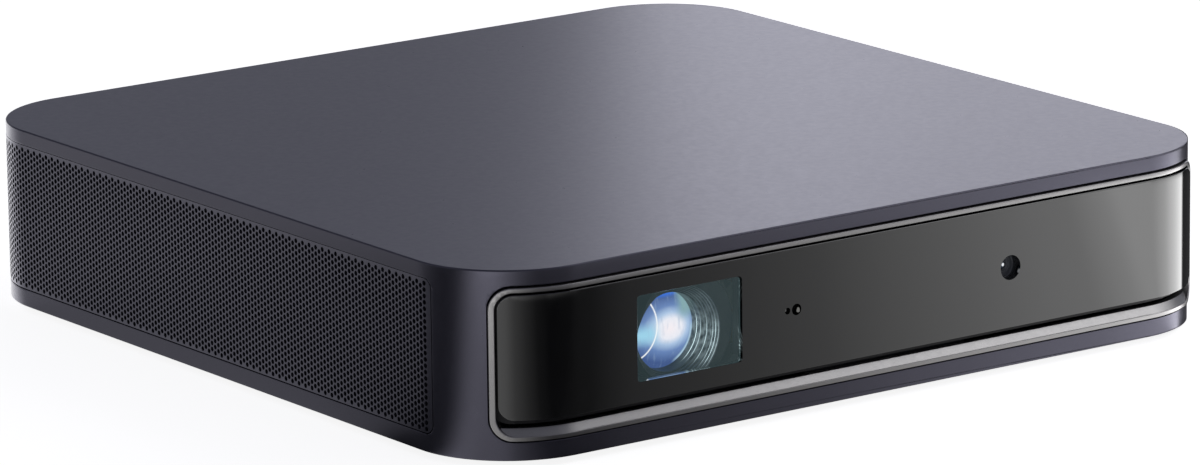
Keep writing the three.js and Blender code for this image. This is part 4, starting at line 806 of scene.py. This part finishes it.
class FloorLevels:
    """Brightness that the body mirrors from the floor, by place on the floor"""

    def __init__(self, tree):
        self.tree = tree
        self.place = tree.nodes.new("ShaderNodeTexCoord").outputs["Object"]
        split = tree.nodes.new("ShaderNodeSeparateXYZ")
        tree.links.new(self.place, split.inputs[0])
        self.across, self.ahead = split.outputs["X"], split.outputs["Y"]
        # Place along the front that mirrors a spot of the floor, and 1 where only the upper band mirrors it
        beyond_front, slope = self.maths("ADD", self.ahead, 0.098), 0.727
        self.column = self.maths("ADD", self.across, self.product(beyond_front, slope))
        self.far_out = self.step(self.reach(-FLAT * MM, -FLAT * MM), 0.1685, 0.1735)

    def maths(self, operation, first, second=0):
        return maths(self.tree, operation, first, second)

    def product(self, first, second):
        return self.maths("MULTIPLY", first, second)

    def step(self, value, low, high, start=0, end=1):
        return smooth_step(self.tree, value, low, high, start, end)

    def reach(self, x, y):
        return distance(self.tree, self.place, (x, y, 0))

    def angle(self, first, second):
        return self.maths("DEGREES", self.maths("ARCTAN2", first, second))

    def levels(self, value, low, high, *stops):
        """Brightness that follows the value, from low to high, through (value, brightness) stops"""
        brightest = 6.0
        share = self.maths("DIVIDE", self.maths("SUBTRACT", value, low), high - low)
        greys = [((spot - low) / (high - low), (level / brightest,) * 3) for spot, level in stops]
        return self.product(ramp(self.tree, share, greys), brightest)

    def choose(self, share, first, second):
        """The first brightness where the share is 0, the second where it is 1"""
        rest = self.product(first, self.maths("SUBTRACT", 1.0, share))
        return self.maths("ADD", rest, self.product(second, share))

    def left_corner(self):
        """What the front left corner mirrors, by angle from straight ahead to the left, near and far"""
        x, y = -FLAT * MM, -FLAT * MM
        angle = self.angle(self.maths("SUBTRACT", x, self.across), self.maths("SUBTRACT", y, self.ahead))
        near = self.levels(
            angle, 0, 180, (0, 0.01), (11, 0.03), (21, 0.1), (32, 0.22), (41, 0.42), (47, 0.45), (58, 0.46),
            (65, 0.55), (73, 0.58), (79, 0.38), (86, 0.12), (92, 0.02), (118, 0.02), (132, 0.22),
            (140, 0.27), (150, 0.33), (160, 0.35), (179, 0.35))
        far = self.levels(
            angle, 0, 180, (0, 0.1), (11, 0.15), (27, 0.35), (42, 0.9), (54, 1.35), (62, 1.3), (72, 0.75),
            (80, 0.1), (92, 0.0), (136, 0.02), (142, 0.27), (150, 0.33), (179, 0.35))
        return self.choose(self.far_out, near, far)

    def front(self):
        """What the flat front mirrors, brighter towards the right, and its upper band farther out"""
        near = self.levels(
            self.column, -0.2, 0.2, (-0.2, 0.02), (-0.15, 0.005), (-0.1, 0.01), (-0.072, 0.03),
            (-0.062, 0.1), (-0.03, 0.2), (-0.01, 0.29), (0.01, 0.45), (0.03, 0.6), (0.052, 0.8),
            (0.063, 0.87), (0.073, 1.2), (0.08, 1.4))
        far = self.levels(
            self.column, -0.2, 0.2, (-0.2, 0.17), (-0.1, 0.17), (-0.07, 0.27), (-0.055, 0.35),
            (-0.03, 0.35), (0.04, 0.07))
        band = self.product(self.step(self.ahead, -0.228, -0.221, 1, 0), self.far_out)
        return self.maths("ADD", near, self.product(far, band))

    def right_corner(self):
        """What the front right corner mirrors, by angle round a spot inside it, dimmer far away"""
        x, y = 0.0856, -0.0949
        angle = self.angle(self.maths("SUBTRACT", self.ahead, y), self.maths("SUBTRACT", self.across, x))
        fan = self.levels(
            angle, -90, 90, (-90, 1.4), (-54, 1.48), (-34, 2.0), (-25, 2.5), (-14, 3.0), (-2, 3.8),
            (0, 3.9), (4, 0.05), (30, 0.05), (48, 0.35), (90, 0.4))
        return self.product(fan, self.step(self.reach(x, y), 0.147, 0.158, 1, 0.45))

    def rear_corner(self):
        """What the rear left corner mirrors, by angle round a spot beside it"""
        x, y = -HALF * MM, FLAT * MM
        angle = self.angle(self.maths("SUBTRACT", self.ahead, y), self.maths("SUBTRACT", self.across, x))
        return self.levels(
            angle, 0, 180, (0, 0.6), (40, 0.8), (54, 1.8), (84, 1.8), (94, 1.4), (104, 0.9), (114, 0.45),
            (126, 0.4), (179, 0.4))

    def whole_floor(self):
        beside = self.step(self.across, 0.05, 0.12, 0.3, 0.02)
        ahead_of_body = self.step(self.ahead, -0.094, -0.092, 1, 0)
        level = self.choose(ahead_of_body, beside, self.front())
        level = self.choose(self.step(self.column, 0.0735, 0.08), level, self.right_corner())
        level = self.choose(self.step(self.across, -0.084, -0.068, 1, 0), level, self.left_corner())
        return self.choose(self.step(self.ahead, 0.075, 0.085), level, self.rear_corner())


def make_world():
    """White for the camera, a dim even light for the object"""
    world = bpy.data.worlds.new("studio")
    bpy.context.scene.world = world
    world.use_nodes = True
    tree = world.node_tree
    backdrop = tree.nodes["Background"]
    seen = tree.nodes.new("ShaderNodeLightPath").outputs["Is Camera Ray"]
    tree.links.new(blend(tree, seen, (0.9, 0.92, 1.1), (1, 1, 1)), backdrop.inputs["Color"])
    tree.links.new(smooth_step(tree, seen, 0, 1, 0.134, 1.0), backdrop.inputs["Strength"])


def make_floor():
    """Pale floor that keeps the object's shadow and shows its own levels in the reflections"""
    mesh = bmesh.new()
    bmesh.ops.create_grid(mesh, x_segments=1, y_segments=1, size=4)
    data = bpy.data.meshes.new("floor")
    mesh.to_mesh(data)
    mesh.free()
    floor = bpy.data.objects.new("floor", data)
    bpy.context.collection.objects.link(floor)
    paper = bpy.data.materials.new("pale paper")
    paper.use_nodes = True
    data.materials.append(paper)
    tree = paper.node_tree
    shader = tree.nodes["Principled BSDF"]
    shader.inputs["Roughness"].default_value = 0.9
    shader.inputs["Emission Color"].default_value = (1, 1, 1, 1)
    rays = tree.nodes.new("ShaderNodeLightPath").outputs
    seen = maths(tree, "MULTIPLY", rays["Is Camera Ray"], 0.88)
    mirrored = maths(tree, "MULTIPLY", rays["Is Glossy Ray"], FloorLevels(tree).whole_floor())
    tree.links.new(maths(tree, "ADD", seen, mirrored), shader.inputs["Emission Strength"])
    colour = blend(tree, rays["Is Glossy Ray"], (0.8, 0.8, 0.8), (0, 0, 0))
    tree.links.new(colour, shader.inputs["Base Color"])


def lamp(name, place, target, size, power, colour=(1, 1, 1)):
    data = bpy.data.lights.new(name, "AREA")
    data.shape = "RECTANGLE"
    data.size, data.size_y = size
    data.energy = power
    data.color = colour
    thing = bpy.data.objects.new(name, data)
    bpy.context.collection.objects.link(thing)
    thing.location = place
    thing.rotation_euler = (Vector(target) - Vector(place)).to_track_quat("-Z", "Y").to_euler()


def make_view():
    """The camera that was fitted to the photo, and the lamps, two of them placed by its heading"""
    turn, rise, roll = math.radians(-35.96), math.radians(13.72), math.radians(-0.71)
    away_by = 1.5722
    back = Vector((math.sin(turn) * math.cos(rise), -math.cos(turn) * math.cos(rise), math.sin(rise)))
    right = Vector((math.cos(turn), math.sin(turn), 0))
    up = back.cross(right)
    aim = Vector((-14.55, -22.98 + MIDDLE_Y, 24.0)) * MM
    data = bpy.data.cameras.new("camera")
    data.lens, data.sensor_width = 222.11, 36
    data.clip_end = 20
    camera = bpy.data.objects.new("camera", data)
    bpy.context.collection.objects.link(camera)
    level = Matrix((right * math.cos(roll) + up * math.sin(roll),
                    up * math.cos(roll) - right * math.sin(roll), back))
    camera.matrix_world = Matrix.Translation(aim + back * away_by) @ level.transposed().to_4x4()
    bpy.context.scene.camera = camera
    away = Vector((-math.sin(turn), math.cos(turn), 0))
    toward_body = -away - Vector((0, 0, 0.2))
    beyond = away * 0.85 + right * 0.365 + Vector((0, 0, 0.247))
    lamp("beyond right", beyond, beyond + toward_body, (0.71, 0.35), 0.94, (0.93, 0.93, 1))
    beyond = away * 0.9 - right * 0.35 + Vector((0, 0, 0.3))
    lamp("beyond left", beyond, beyond + toward_body, (0.9, 0.4), 0.17, (0.88, 0.9, 1))
    lamp("above right", (1.3, -0.5, 1.15), (0.05, -0.05, 0), (1.1, 1.1), 3.2)
    lamp("near right", (0.261, -0.278, 0.175), (0.09, -0.097, 0.008), (0.16, 0.2), 0.075)


make_world()
make_floor()
make_view()
bpy.context.scene.view_settings.view_transform = "Standard"
